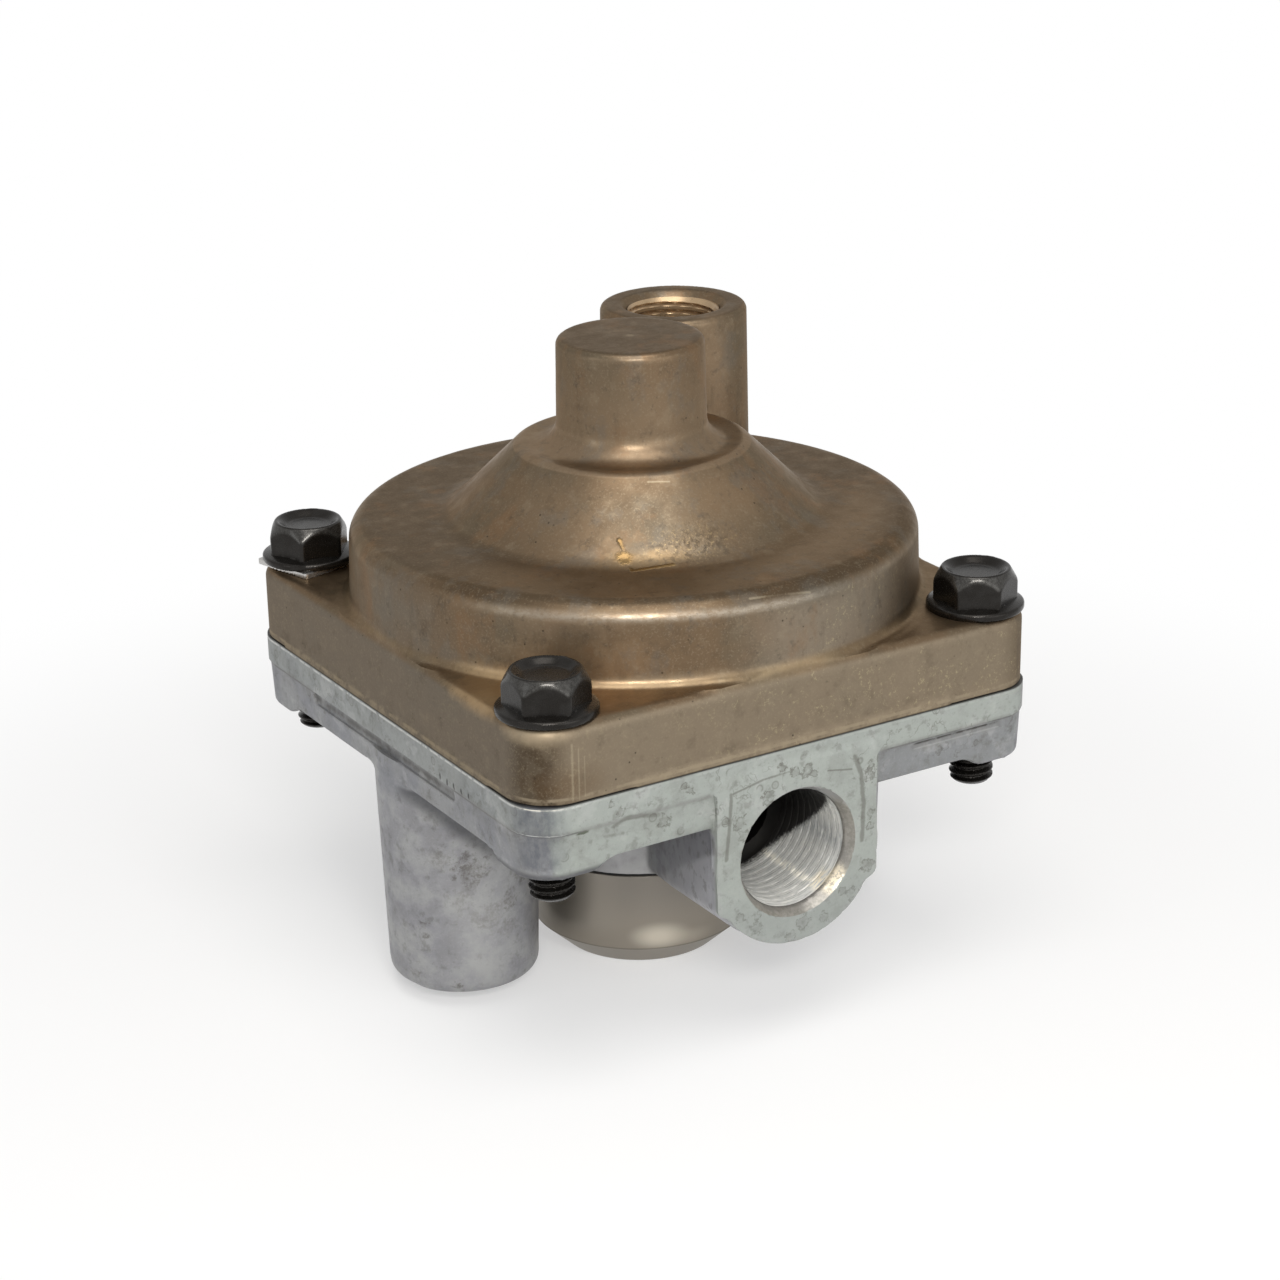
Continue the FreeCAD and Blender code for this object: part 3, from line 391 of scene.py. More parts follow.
def body_shape(x, y, z, exact):
    ax = np.abs(x)
    ay = np.abs(y)
    lower_side = rounded_square(x, y, 51.4, 7.1) - 0.35 * (z - under_z) / 6.8
    upper_side = rounded_square(x, y, half, 7.4)
    above = under_z - z
    tubes = tube(ax, y, z, exact)
    boss = meet(np.sqrt(x * x + y * y) - 20.4, 20.0 - z, 0.2)
    width = 8.8 + 7.7 * (-17.5 - y) / 34.9
    flank = (ax - width) * 0.9765
    floor = (26.7 - 6.3 * (y - face_y) / 34.9 - z) * 0.984
    front = face_y - y
    wedge = np.maximum(meet(flank, floor, 1.8), y + 12)
    turn = np.sqrt(x * x + (z - port_z) ** 2)
    round_boss = np.maximum(meet(turn - 16.8, flank, 0.8), y + 17.5)
    block = join(wedge, round_boss, 0.8)
    block = np.maximum(block, z - 46)
    face_top = np.maximum(meet(ax - 16.5, z - 52.0, 0.4), 35.2 - z)
    face_top = np.maximum(face_top, y + 50)
    face_top = np.maximum(face_top, (-52.0 - y - 0.15 * (52.0 - z)) * 0.988)
    block = np.minimum(block, face_top)
    block = meet(block, front, 0.3)
    reach = 13.0 + 2.8 * (z - 41.3) / 2.9
    pad = rounded_square(ax - half, ay - half, reach, 7.0) * 0.72
    pad = meet(pad, 41.3 - z, 1.2)
    pad = np.maximum(pad, z - 46)
    main = join(above, tubes, 1.6)
    main = join(main, boss, 4.0)
    main = join(main, pad, 1.2)
    main = join(main, np.maximum(block, -49 - y), 1.2)
    main = meet(main, lower_side, 0.9)
    band = np.maximum(upper_side, mould_z - z)
    main = join(main, band, 0.12)
    main = join(main, np.maximum(tubes, z - 48.4), 0.8)
    main = join(main, block, 0.6)
    main = meet(main, z - (split_z - 0.03), 0.14)
    slot_z = z - 48.4
    slot_y = np.maximum(np.abs(y - 1.5) - 25.6, 0)
    slot = np.sqrt(slot_y ** 2 + slot_z ** 2) - 1.1
    slot = np.maximum(slot, x + (51.6 - 0.45))
    main = carve(main, slot, 0.5)
    slot_x = np.maximum(np.abs(x - 33.9) - 9.1, 0)
    slot = np.sqrt(slot_x ** 2 + (z - 48.7) ** 2) - 0.5
    slot = np.maximum(slot, y + (51.6 - 0.3))
    main = carve(main, slot, 0.1)
    spot = np.maximum(np.sqrt(x * x + y * y) - 21.0, z - 20.0)
    main = carve(main, np.maximum(spot, 10 - z), 0.2)
    bore = turn - 10.74
    mouth = (turn - 11.9 + (y - face_y) * 0.559) * 0.873
    port = np.maximum(np.minimum(bore, mouth), y + 32.6)
    passage = np.maximum(turn - 7.0, y + 8)
    main = carve(main, port, 0.15)
    main = carve(main, passage, 0.3)
    bores = round_hole(ax, y, (tube_x, 0), 8.55)
    tube_mouth = round_hole(ax, y, (tube_x, 0), 9.8) + (z - tube_low_z)
    bores = np.maximum(np.minimum(bores, tube_mouth), z - 18.9)
    through = round_hole(ax, y, (tube_x, 0), 5.0)
    main = carve(main, np.minimum(bores, through), 0.15)
    chamber = np.maximum(np.sqrt(x * x + y * y) - 15.0, z - 45.7)
    opening = np.sqrt(x * x + y * y) - 9.0
    main = carve(main, np.minimum(chamber, opening), 0.15)
    screws = round_hole(ax, ay, (bolt_offset, bolt_offset), 4.05)
    return carve(main, screws, 0.15)


def casting(name, shape, low, high, cell, side):
    """Visible mesh of a casting, without the joint face; the casting lies above it where side is 1."""
    points, quads = skin(shape, low, high, cell)
    middle = points[quads].mean(1)
    hidden = ((middle[:, 2] - split_z) * side < 0.1) & (np.hypot(middle[:, 0], middle[:, 1]) < 46)
    points = cast_surface(points, shape)
    piece, used = mesh_piece(name, points, quads, ~hidden)
    shape_masks(piece, points[used], shape, 1.2, 2.5)
    return piece


cover = casting("cover_casting", cover_shape, (-53.5, -53.5, 53.8), (53.5, 53.5, 115.6), 0.6, 1)
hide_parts("control_cover")
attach(cover, "housing")

body = casting("body_casting", body_shape, (-53.6, -53.8, 1.8), (53.6, 53.6, 56.0), 0.7, -1)
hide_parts("valve_body")
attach(body, "housing")


# Screws, one mesh each for the head and the threaded tip
screw_head = Turned([(0, -1.5), (8.65, 0, 0.4), (8.65, 1.15, 0.45), (6.6, 1.75), (0, 1.75)])
screw_top = 7.45


def head_shape(x, y, z, exact):
    slabs = None
    for step in range(3):
        t = math.radians(30 + 60 * step)
        slab = np.abs(x * math.cos(t) + y * math.sin(t)) - 6.55
        slabs = slab if slabs is None else meet(slabs, slab, 0.45)
    r = np.sqrt(x * x + y * y)
    crown = (r - 6.0) * 0.866 + (z - screw_top) * 0.5
    d = meet(slabs, crown, 0.3)
    d = meet(d, z - screw_top, 0.3)
    flange = np.maximum(screw_head(x, y, z, exact), -z)
    d = np.minimum(d, flange)
    d = np.maximum(d, -z)
    slope = (screw_top + (r - 5.6) * 0.75 - z) * 0.8
    dish = meet(slope, (screw_top - 1.2) - z, 0.2)
    return carve(d, dish, 0.25)


def stud_shape(x, y, z, exact):
    turn = z / small_pitch - np.arctan2(y, x) / (2 * math.pi)
    wave = np.abs((turn - np.floor(turn)) * 2 - 1)
    depth = np.clip(wave * 1.5 - 0.25, 0, 1) * 0.72
    r = np.sqrt(x * x + y * y)
    thread = (r - 3.93 + depth) * 0.62
    tip = (r - 3.05) * 0.7 + (-33.15 - z) * 0.7
    return meet(meet(thread, tip, 0.2), -33.15 - z, 0.3)


fine = 0.26
head_points, head_quads = skin(head_shape, (-9.4, -9.4, -0.9), (9.4, 9.4, 8.3), fine)
tip_points, tip_quads = skin(stud_shape, (-4.6, -4.6, -33.9), (4.6, 4.6, -25.0), fine * 0.75)
tip_keep = tip_points[tip_quads].mean(1)[:, 2] < -25.6
screws = []
for number, (sx, sy, turn, lift) in enumerate(
    [(-1, -1, 30, 0), (1, -1, 27, 0), (1, 1, 10, 0), (-1, 1, 54, 1.1)]
):
    spin = math.radians(turn)
    c, s = math.cos(spin), math.sin(spin)
    rotation = np.array([[c, -s, 0], [s, c, 0], [0, 0, 1]])
    place = np.array([sx * bolt_offset, sy * bolt_offset, cover_top_z + lift + 0.02])
    for part, p, q, keep in (
        ("head", head_points, head_quads, None),
        ("tip", tip_points, tip_quads, tip_keep),
    ):
        moved = p @ rotation.T + place
        piece, _ = mesh_piece("screw_%s_%d" % (part, number), moved, q, keep)
        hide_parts("cover_bolts")
        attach(piece, "housing")
        screws.append(piece)


# Square washer under the left screw
def washer_shape(x, y, z, exact):
    turn = math.radians(15)
    c, s = math.cos(turn), math.sin(turn)
    u = x * c + y * s
    w = y * c - x * s
    plate = meet(rounded_square(u, w, 6.9, 0.7), np.abs(z - 0.5) - 0.5, 0.2)
    return carve(plate, np.sqrt(x * x + y * y) - 4.3, 0.1)


points, quads = skin(washer_shape, (-10.6, -10.6, -0.6), (10.6, 10.6, 1.7), fine)
points = points + np.array([-bolt_offset, bolt_offset, cover_top_z + 0.04])
washer, _ = mesh_piece("plate_washer", points, quads)
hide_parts("square_washer")
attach(washer, "housing")


# Threads of the ports, as a tapered helical skin inside each bore
def port_thread(name, start, axis, outer, depth, length, pitch, crest=1.8):
    along = Vector(axis)
    side = Vector((1, 0, 0))
    across = along.cross(side)
    around = 160
    rows = int(length / pitch * (16))
    t = np.linspace(0, 2 * math.pi, around, endpoint=False)
    s = np.linspace(0, length, rows)
    tt, ss = np.meshgrid(t, s)
    phase = (ss / pitch - tt / (2 * math.pi)) % 1.0
    ridge = np.clip((1 - np.abs(phase * 2 - 1)) * crest, 0, 1)
    fade = np.clip(ss / (pitch * 0.8), 0, 1)
    r = outer - ss * pipe_taper - depth * ridge * fade
    points = (
        np.array(start)
        + ss[..., None] * np.array(along)
        + (r * np.cos(tt))[..., None] * np.array(side)
        + (r * np.sin(tt))[..., None] * np.array(across)
    ).reshape(-1, 3)
    row = np.arange(rows - 1)[:, None] * around
    col = np.arange(around)[None, :]
    nxt = (col + 1) % around
    quads = np.stack([row + col, row + around + col, row + around + nxt, row + nxt], -1).reshape(-1, 4)
    piece, _ = mesh_piece(name, points, quads)
    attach(piece, "housing")
    return piece


thread_inset = 1.1
up = (0, 0, 1)
down = (0, 0, -1)
supply_thread = port_thread(
    "supply_port_thread", (0, face_y + 2.1, port_z), (0, 1, 0), 10.72, 0.14, 17.7, half_inch_pitch, 3.4
)
mouth_z = tube_low_z + thread_inset
left_thread = port_thread("left_port_thread", (-tube_x, 0, mouth_z), up, 8.53, 0.9, 14.6, small_pitch)
right_thread = port_thread("right_port_thread", (tube_x, 0, mouth_z), up, 8.53, 0.9, 14.6, small_pitch)
mouth_z = control_top_z - thread_inset
control_thread = port_thread(
    "control_port_thread", (control_x, control_x, mouth_z), down, 8.53, 0.8, 14.6, small_pitch
)


# Springs, copies of the CAD coils attached to the housing
def pressed_spring(name, node):
    mesh = nodes[node].data.copy()
    mesh.name = name
    spring = bpy.data.objects.new(name, mesh)
    bpy.context.scene.collection.objects.link(spring)
    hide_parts(node)
    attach(spring, "housing")
    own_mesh(spring)
    return spring


springs = [
    pressed_spring("return_spring_coil", "piston_return_spring"),
    pressed_spring("valve_spring_coil", "valve_spring"),
]


class Nodes:
    """Short forms for adding nodes to a tree."""

    def __init__(self, tree):
        self.tree = tree
        tree.nodes.clear()

    def put(self, socket, value):
        if isinstance(value, bpy.types.NodeSocket):
            self.tree.links.new(value, socket)
        elif socket.type == "RGBA":
            socket.default_value = (*value, 1.0)
        else:
            socket.default_value = value

    def node(self, kind, values=None, **settings):
        node = self.tree.nodes.new("ShaderNode" + kind)
        for name, value in settings.items():
            setattr(node, name, value)
        for key, value in (values or {}).items():
            self.put(node.inputs[key], value)
        return node

    def rays(self, *kinds):
        """1 for a ray of one of these kinds."""
        path = self.node("LightPath")
        return self.most(*[path.outputs["Is %s Ray" % kind] for kind in kinds])

    def math(self, operation, a, b=0.0, clamp=False):
        return self.node("Math", {0: a, 1: b}, operation=operation, use_clamp=clamp).outputs[0]

    def vector(self, operation, a, b=(0, 0, 0)):
        node = self.node("VectorMath", {0: a, 1: b}, operation=operation)
        scalar = operation in ("LENGTH", "DOT_PRODUCT", "DISTANCE")
        return node.outputs["Value" if scalar else "Vector"]

    def scaled(self, a, factor):
        return self.node("VectorMath", {0: a, "Scale": factor}, operation="SCALE").outputs[0]

    def add(self, a, b):
        return self.math("ADD", a, b)

    def mul(self, *factors):
        total = factors[0]
        for factor in factors[1:]:
            total = self.math("MULTIPLY", total, factor)
        return total

    def most(self, *masks):
        total = masks[0]
        for mask in masks[1:]:
            total = self.math("MAXIMUM", total, mask)
        return total

    def ramp(self, value, low, high, start=0.0, end=1.0):
        """start up to low, end from high on, smooth in between. low may be the larger one."""
        values = {"Value": value, "From Min": low, "From Max": high, "To Min": start, "To Max": end}
        return self.node("MapRange", values, interpolation_type="SMOOTHSTEP").outputs["Result"]

    def between(self, value, low, full, hold, high):
        """1 from full to hold, 0 below low and above high."""
        return self.mul(self.ramp(value, low, full), self.ramp(value, high, hold))

    def line(self, value, middle, width):
        """1 where value is middle, 0 from width away."""
        return self.ramp(self.math("ABSOLUTE", self.add(value, -middle)), width, 0.0)

    def mix(self, amount, a, b):
        return self.node("Mix", {0: amount, 6: a, 7: b}, data_type="RGBA").outputs[2]

    def blend(self, amount, a, b):
        return self.node("Mix", {0: amount, 2: a, 3: b}, data_type="FLOAT").outputs[0]


class Graph(Nodes):
    """One material, in millimetres of the row frame. paint lays each coat over the colour so far."""

    def __init__(self, name):
        self.material = bpy.data.materials.new(name)
        self.material.use_nodes = True
        super().__init__(self.material.node_tree)
        self.shader = self.node("BsdfPrincipled")
        self.out = self.node("OutputMaterial", {0: self.shader.outputs[0]})
        place = self.node("TexCoord")
        self.mm = self.scaled(place.outputs["Object"], 1000.0)
        self.x, self.y, self.z = self.node("SeparateXYZ", {0: self.mm}).outputs
        self.up = self.node("SeparateXYZ", {0: place.outputs["Normal"]}).outputs[2]
        self.colour = (0.8, 0.8, 0.8)

    def paint(self, tone, amount, *masks):
        self.colour = self.mix(self.mul(*masks, amount), self.colour, tone)

    def placed(self, size, stretch, shift):
        scale = [s / size for s in stretch]
        location = (shift, shift * 0.7, shift * 1.3)
        return self.node("Mapping", {0: self.mm, "Scale": scale, "Location": location}).outputs[0]

    def noise(self, size, detail=2.0, rough=0.5, stretch=(1, 1, 1), shift=0.0):
        """Noise whose features are about size millimetres."""
        place = self.placed(size, stretch, shift)
        values = {"Vector": place, "Scale": 1.0, "Detail": detail, "Roughness": rough}
        return self.node("TexNoise", values).outputs[0]

    def cells(self, size, shift=0.0):
        """Distance to the nearest of random points about size millimetres apart."""
        place = self.placed(size, (1, 1, 1), shift)
        return self.node("TexVoronoi", {"Vector": place, "Scale": 1.0}).outputs[0]

    def attribute(self, name):
        return self.node("Attribute", attribute_name=name).outputs["Fac"]

    def blob(self, centre, size, soft=0.5, wobble=0.0):
        """Mask of an ellipsoid with half sizes in size, its edge moved by the noise wobble."""
        away = self.vector("SUBTRACT", self.mm, centre)
        away = self.vector("DIVIDE", away, size)
        distance = self.add(self.vector("LENGTH", away), wobble)
        return self.ramp(distance, 1.0 + soft, 1.0 - soft)

    def stroke(self, a, b, width, soft=0.6, wobble=0.0):
        """Mask of a line from a to b, width millimetres to either side."""
        run = Vector(b) - Vector(a)
        away = self.vector("SUBTRACT", self.mm, a)
        share = self.vector("DOT_PRODUCT", away, run / run.length_squared)
        share = self.math("ADD", share, 0.0, True)
        distance = self.vector("DISTANCE", away, self.scaled(run, share))
        distance = self.add(distance, self.mul(wobble, width))
        return self.ramp(distance, width * (1 + soft), width * (1 - soft))

    def ring(self, centre, radius, wobble):
        """Mask of a dried drop: a dark rim with a fainter middle."""
        distance = self.mul(self.vector("DISTANCE", self.mm, centre), 1.0 / radius)
        distance = self.add(distance, wobble)
        return self.most(self.line(distance, 0.82, 0.34), self.ramp(distance, 0.7, 1.0, 0.38, 0.0))

    def radius(self):
        return self.math("SQRT", self.add(self.mul(self.x, self.x), self.mul(self.y, self.y)))

    def bump(self, height, strength, distance=0.0001, normal=None):
        values = {"Height": height, "Strength": strength, "Distance": distance}
        if normal is not None:
            values["Normal"] = normal
        return self.node("Bump", values).outputs[0]

    def finish(self, rough, metal, normal=None, specular=0.5):
        self.put(self.shader.inputs["Base Color"], self.colour)
        self.put(self.shader.inputs["Roughness"], rough)
        self.put(self.shader.inputs["Metallic"], metal)
        self.put(self.shader.inputs["Specular IOR Level"], specular)
        if normal is not None:
            self.put(self.shader.inputs["Normal"], normal)
        return self.material


# Patches of the cover's skin: tone and stains, and in many of them painted light: painted highlights and
# painted light on the flange top, the front corner, the cone's foot and the drum's foot, painted shade on
# the far right of the drum, on the rim and on the cone. Columns: place, half sizes, strength and colour
cover_tones_and_light = [
    ((-33, -38, 72.5), (12, 9, 4.5), 0.60, (0.315, 0.205, 0.115)),
    ((-36, -35, 79.5), (8, 8, 2.6), 0.45, (0.275, 0.195, 0.125)),
    # painted light on the flange top beside the drum
    ((-43, -28, 68.9), (7, 7, 2.2), 0.75, (0.370, 0.255, 0.140)),
    # painted light on the flange top at the front
    ((-24, -46, 69.6), (14, 5, 1.3), 0.50, (0.320, 0.235, 0.145)),
    # painted highlight on the front corner's top edge
    ((-48.5, -48.5, 67.2), (4.5, 4.5, 1.5), 0.60, (0.480, 0.385, 0.260)),
    # painted shade on the drum's far right
    ((36, -35, 76), (8, 10, 9), 0.55, (0.070, 0.052, 0.035)),
    # painted shade on the rim's far right
    ((41, -26, 82.4), (10, 15, 2.5), 0.50, (0.088, 0.072, 0.054)),
    ((-24, -12, 90), (6, 9, 6), 0.45, (0.215, 0.155, 0.098)),
    ((3, -25, 91), (8, 6, 6), 0.60, (0.270, 0.185, 0.110)),
    # painted shade dimming the cone's front
    ((-11.5, -24.3, 90), (7, 5, 5), 0.60, (0.108, 0.086, 0.060)),
    ((-50.5, -4, 75), (4, 13, 6.5), 0.55, (0.150, 0.130, 0.106)),
    ((24, 11.6, 99), (4.0, 4, 14), 0.60, (0.290, 0.200, 0.124)),
    # painted shade on the flange's far right corner
    ((50.5, -50.5, 61), (4.5, 4.5, 9), 0.60, (0.110, 0.083, 0.054)),
    ((-44, -48, 58), (5, 6, 3), 0.50, (0.110, 0.062, 0.028)),
    # painted light on the flange top beside the drum
    ((-48, -34, 68.4), (6, 9, 1.6), 0.75, (0.430, 0.300, 0.165)),
    # painted shade dimming the rim's front
    ((4, -50, 80.6), (13, 4, 1.6), 0.55, (0.120, 0.100, 0.074)),
    # painted highlight at the cone's foot
    ((-16, -28.5, 84.4), (9, 5, 1.2), 0.60, (0.320, 0.222, 0.118)),
    # painted highlight on the drum's foot at the front
    ((1, -52, 69.1), (9, 3, 1.2), 0.50, (0.310, 0.235, 0.145)),
    # painted light on the drum top's front
    ((-20, -40, 83.2), (18, 6, 1.6), 0.60, (0.240, 0.170, 0.105)),
]


def cover_material():
    """Chromated die casting: bronze, browner on top, greyer and speckled on the flange's sides, with
    painted highlights and painted shade in places.
    """
    g = Graph("cover_casting")
    edge = g.attribute("edge")
    hollow = g.attribute("hollow")
    broad = g.noise(17, 3, 0.6, shift=3)
    mottle = g.noise(3.6, 5, 0.62, shift=9)
    streak = g.noise(2.6, 4, 0.6, (1, 1, 0.22), shift=14)
    fine = g.noise(1.0, 4, 0.7, shift=21)
    grain = g.noise(0.4, 2, 0.6)
    wall = g.ramp(g.up, 0.6, 0.2)
    low = g.ramp(g.z, 68.2, 67.0)
    side = g.mul(low, g.ramp(g.up, 0.9, 0.5))
    top = g.ramp(g.up, 0.86, 0.99)
    bronze = (0.15, 0.103, 0.062)
    olive = (0.128, 0.098, 0.064)
    brown = (0.092, 0.06, 0.033)
    dark = (0.05, 0.038, 0.027)
    pale = (0.32, 0.265, 0.185)
    grey = (0.255, 0.22, 0.172)
    flange_grey = (0.163, 0.141, 0.114)
    front_grey = (0.226, 0.184, 0.132)
    copper = (0.225, 0.155, 0.095)

    radius = g.radius()
    g.colour = g.mix(g.ramp(broad, 0.42, 0.62), bronze, olive)
    shoulder = g.between(g.z, 92.5, 94.5, 100, 105)
    shoulder = g.mul(shoulder, g.ramp(radius, 21.3, 21.0))
    top = g.mul(top, g.ramp(g.z, 70, 74, 0.5, 1.0))
    g.paint(brown, 1, top, g.ramp(shoulder, 0.0, 1.0, 0.75, 0.0))
    behind = g.mul(top, g.ramp(g.y, -22, -6))
    g.paint((0.084, 0.066, 0.047), 1, behind, g.ramp(shoulder, 0.0, 1.0, 0.6, 0.0))
    # painted light on the flat shoulder round the boss's foot
    lit_shoulder = g.mul(shoulder, g.between(g.z, 94.6, 95.2, 97.5, 99.0))
    g.paint((0.23, 0.165, 0.106), 0.7, lit_shoulder)
    pale_bronze = (0.215, 0.155, 0.098)
    column = g.mul(wall, g.ramp(g.z, 96, 98), g.ramp(g.z, 101, 113, 1.0, 0.35))
    column = g.mul(column, g.ramp(radius, 17.0, 15.5))
    g.paint(pale_bronze, 0.8, column)
    apron = g.blob((-19.0, -34.0, 83.5), (25.0, 14.0, 5.0), 0.5)
    g.paint(pale_bronze, 0.55, apron)
    corner = g.mul(g.ramp(g.x, -43, -49), g.ramp(g.y, -43, -49))
    corner_tone = g.mix(g.ramp(mottle, 0.4, 0.6), (0.062, 0.042, 0.024), (0.098, 0.075, 0.05))
    rust = g.mul(side, g.ramp(g.noise(9.0, 4, 0.6, shift=27), 0.48, 0.62))
    g.paint((0.185, 0.13, 0.078), 0.4, rust)
    foxed = g.mul(side, g.ramp(g.z, 58.0, 56.6))
    g.paint((0.235, 0.165, 0.098), 0.55, foxed, g.ramp(g.x, -14, 0))
    facade = g.ramp(g.y, -50.6, -51.4)
    g.paint(g.mix(facade, flange_grey, front_grey), 0.85, side)
    g.paint(corner_tone, 0.9, side, corner)
    drum = g.mul(wall, g.between(g.z, 69, 71, 84, 86))
    right = g.mul(g.ramp(g.x, -14, 2), g.ramp(g.x, 18, 36, 1.0, 0.2), g.ramp(g.y, -20, -40))
    left = g.mul(g.ramp(g.x, -40, -51), g.ramp(broad, 0.38, 0.56, 0.1, 0.45))
    g.paint(grey, 0.6, drum, g.most(right, left))
    uneven = g.mul(g.add(mottle, -0.5), 1.2)
    # each patch as a soft blob: tone, stains, painted highlights and painted shade
    for place, size, amount, tone in cover_tones_and_light:
        g.paint(tone, amount, g.blob(place, size, 0.8, uneven))
    # painted light: a lighter band on the drum top's front
    ring = g.mul(g.line(radius, 40.5, 8.5), g.line(g.z, 83.4, 2.2), g.ramp(g.y, -8, -24))
    g.paint((0.185, 0.132, 0.082), 0.75, ring)
    # painted shade on the rim's crest at the front
    crest = g.mul(g.ramp(radius, 46.8, 48.0), g.ramp(g.z, 81.2, 82.1), g.ramp(g.y, -6, -22))
    g.paint((0.07, 0.047, 0.027), 0.75, crest)
    patina = g.mul(g.ramp(g.noise(10, 5, 0.68, (1, 1, 0.7), shift=67), 0.52, 0.64), g.ramp(g.z, 69, 71))
    g.paint((0.135, 0.128, 0.112), 0.32, patina)
    rusty = g.mul(g.ramp(g.noise(11, 5, 0.66, (1, 1, 0.6), shift=75), 0.53, 0.66), g.ramp(g.z, 69, 71))
    g.paint((0.205, 0.118, 0.06), 0.38, rusty)
    soiled = g.mul(g.ramp(g.noise(2.2, 5, 0.72, shift=87), 0.56, 0.68), g.ramp(g.z, 69, 71))
    g.paint((0.06, 0.052, 0.042), 0.35, soiled)
    band = g.mul(top, g.ramp(g.z, 72, 70), g.ramp(broad, 0.35, 0.55))
    g.paint(copper, 0.6, band)
    smears = g.mul(g.ramp(streak, 0.56, 0.68), wall, g.ramp(g.z, 67, 69))
    g.paint(dark, 0.16, smears)
    g.paint(dark, 0.2, g.ramp(mottle, 0.55, 0.7))
    g.paint(pale, 0.16, g.ramp(mottle, 0.44, 0.3))
    g.paint(dark, 0.2, g.ramp(fine, 0.55, 0.75))
    g.paint(pale, 0.2, g.ramp(grain, 0.52, 0.7))

    specks = g.ramp(g.noise(0.7, 4, 0.8, shift=5), 0.55, 0.63)
    specks = g.mul(specks, g.ramp(g.noise(5.0, 4, 0.65, shift=31), 0.46, 0.58))
    specks = g.mul(specks, g.ramp(g.x, -25, 0, 0.35, 1.0))
    g.paint((0.4, 0.34, 0.21), 0.55, specks, g.most(side, g.mul(drum, right)))
    pits = g.ramp(g.cells(2.3, shift=11), 0.11, 0.05)
    pits = g.mul(pits, g.ramp(g.noise(9.0, 3, 0.6, shift=41), 0.47, 0.56))
    g.paint((0.022, 0.018, 0.014), 0.7, pits)

    # Wear and painted highlights along the rims and the drum's foot, darker in the inner corners
    # paler at the convex edges: wear, with a painted highlight along them
    wear_and_sheen = g.mul(edge, g.ramp(g.noise(2.2, 4, 0.65, shift=17), 0.38, 0.58))
    g.paint(pale, 0.6, wear_and_sheen)
    # darker in the inner corners
    g.paint(dark, 0.35, hollow, g.ramp(mottle, 0.45, 0.6))
    # paler band on the rim's front: wear and a painted highlight
    rim_wear_and_highlight = g.mul(g.ramp(g.x, 0, 16, 1.0, 0.25), g.line(g.z, 80.6, 1.2))
    rim_wear_and_highlight = g.mul(rim_wear_and_highlight, g.ramp(radius, 48, 49.5), g.ramp(g.y, -18, -36))
    rim_wear_and_highlight = g.mul(rim_wear_and_highlight, g.ramp(g.noise(0.9, 4, 0.75, (0.6, 0.6, 1), 47), 0.38, 0.62, 0.35, 1.0))
    g.paint((0.37, 0.33, 0.27), 0.5, rim_wear_and_highlight)
    # painted highlight along the drum's foot
    foot = g.mul(g.line(g.z, 69.2, 1.2), g.ramp(streak, 0.4, 0.6, 0.5, 1.0))
    g.paint((0.3, 0.22, 0.12), 0.25, foot)

    # Seam with the body, and the ledge above it
    g.paint((0.018, 0.015, 0.012), 0.85, g.ramp(g.z, 55.3, 54.95))
    ledge = g.between(g.z, 55.5, 55.8, 56.1, 56.3)
    ledge = g.mul(ledge, side, g.ramp(mottle, 0.42, 0.56))
    g.paint(pale, 0.6, ledge)

    # Cast-in drop of resin and rough patch at the foot of the cone, with painted glints in the patch
    wobble = g.mul(g.add(fine, -0.5), 1.4)
    patch = g.blob((-8.5, -30.5, 85.8), (10.0, 4.0, 3.0), 0.5, wobble)
    # painted glints in the rough patch
    glitter = g.mul(patch, g.ramp(g.noise(0.6, 2, 0.7, shift=8), 0.58, 0.66))
    g.paint((0.42, 0.31, 0.16), 0.45, glitter)
    g.paint(dark, 0.5, patch, g.ramp(fine, 0.5, 0.6))
    resin = g.most(
        g.blob((-18.1, -26.6, 84.6), (1.3, 1.6, 1.2), 0.4, g.mul(wobble, 0.9)),
        g.stroke((-18.5, -29.7, 83.4), (-17.4, -24.0, 86.9), 0.40, 0.6, wobble),
        g.stroke((-18.0, -29.9, 83.4), (-11.5, -31.6, 83.5), 0.35, 0.6, wobble),
    )
    g.paint((0.26, 0.155, 0.045), 0.55, resin)
    scratches = g.most(
        g.stroke((-9.0, -19.8, 94.6), (-5.6, -21.2, 94.4), 0.16),
        g.stroke((-7.6, -49.2, 82.0), (3.6, -50.3, 81.2), 0.20, 0.6, wobble),
        g.stroke((-41.6, -52.0, 62.8), (-41.6, -52.0, 55.8), 0.12),
        g.stroke((-42.7, -52.0, 64.3), (-42.7, -52.0, 55.4), 0.15),
        g.stroke((-43.9, -52.0, 65.3), (-43.9, -52.0, 55.6), 0.22, 0.6, wobble),
    )
    g.paint((0.42, 0.36, 0.25), 0.35, scratches)

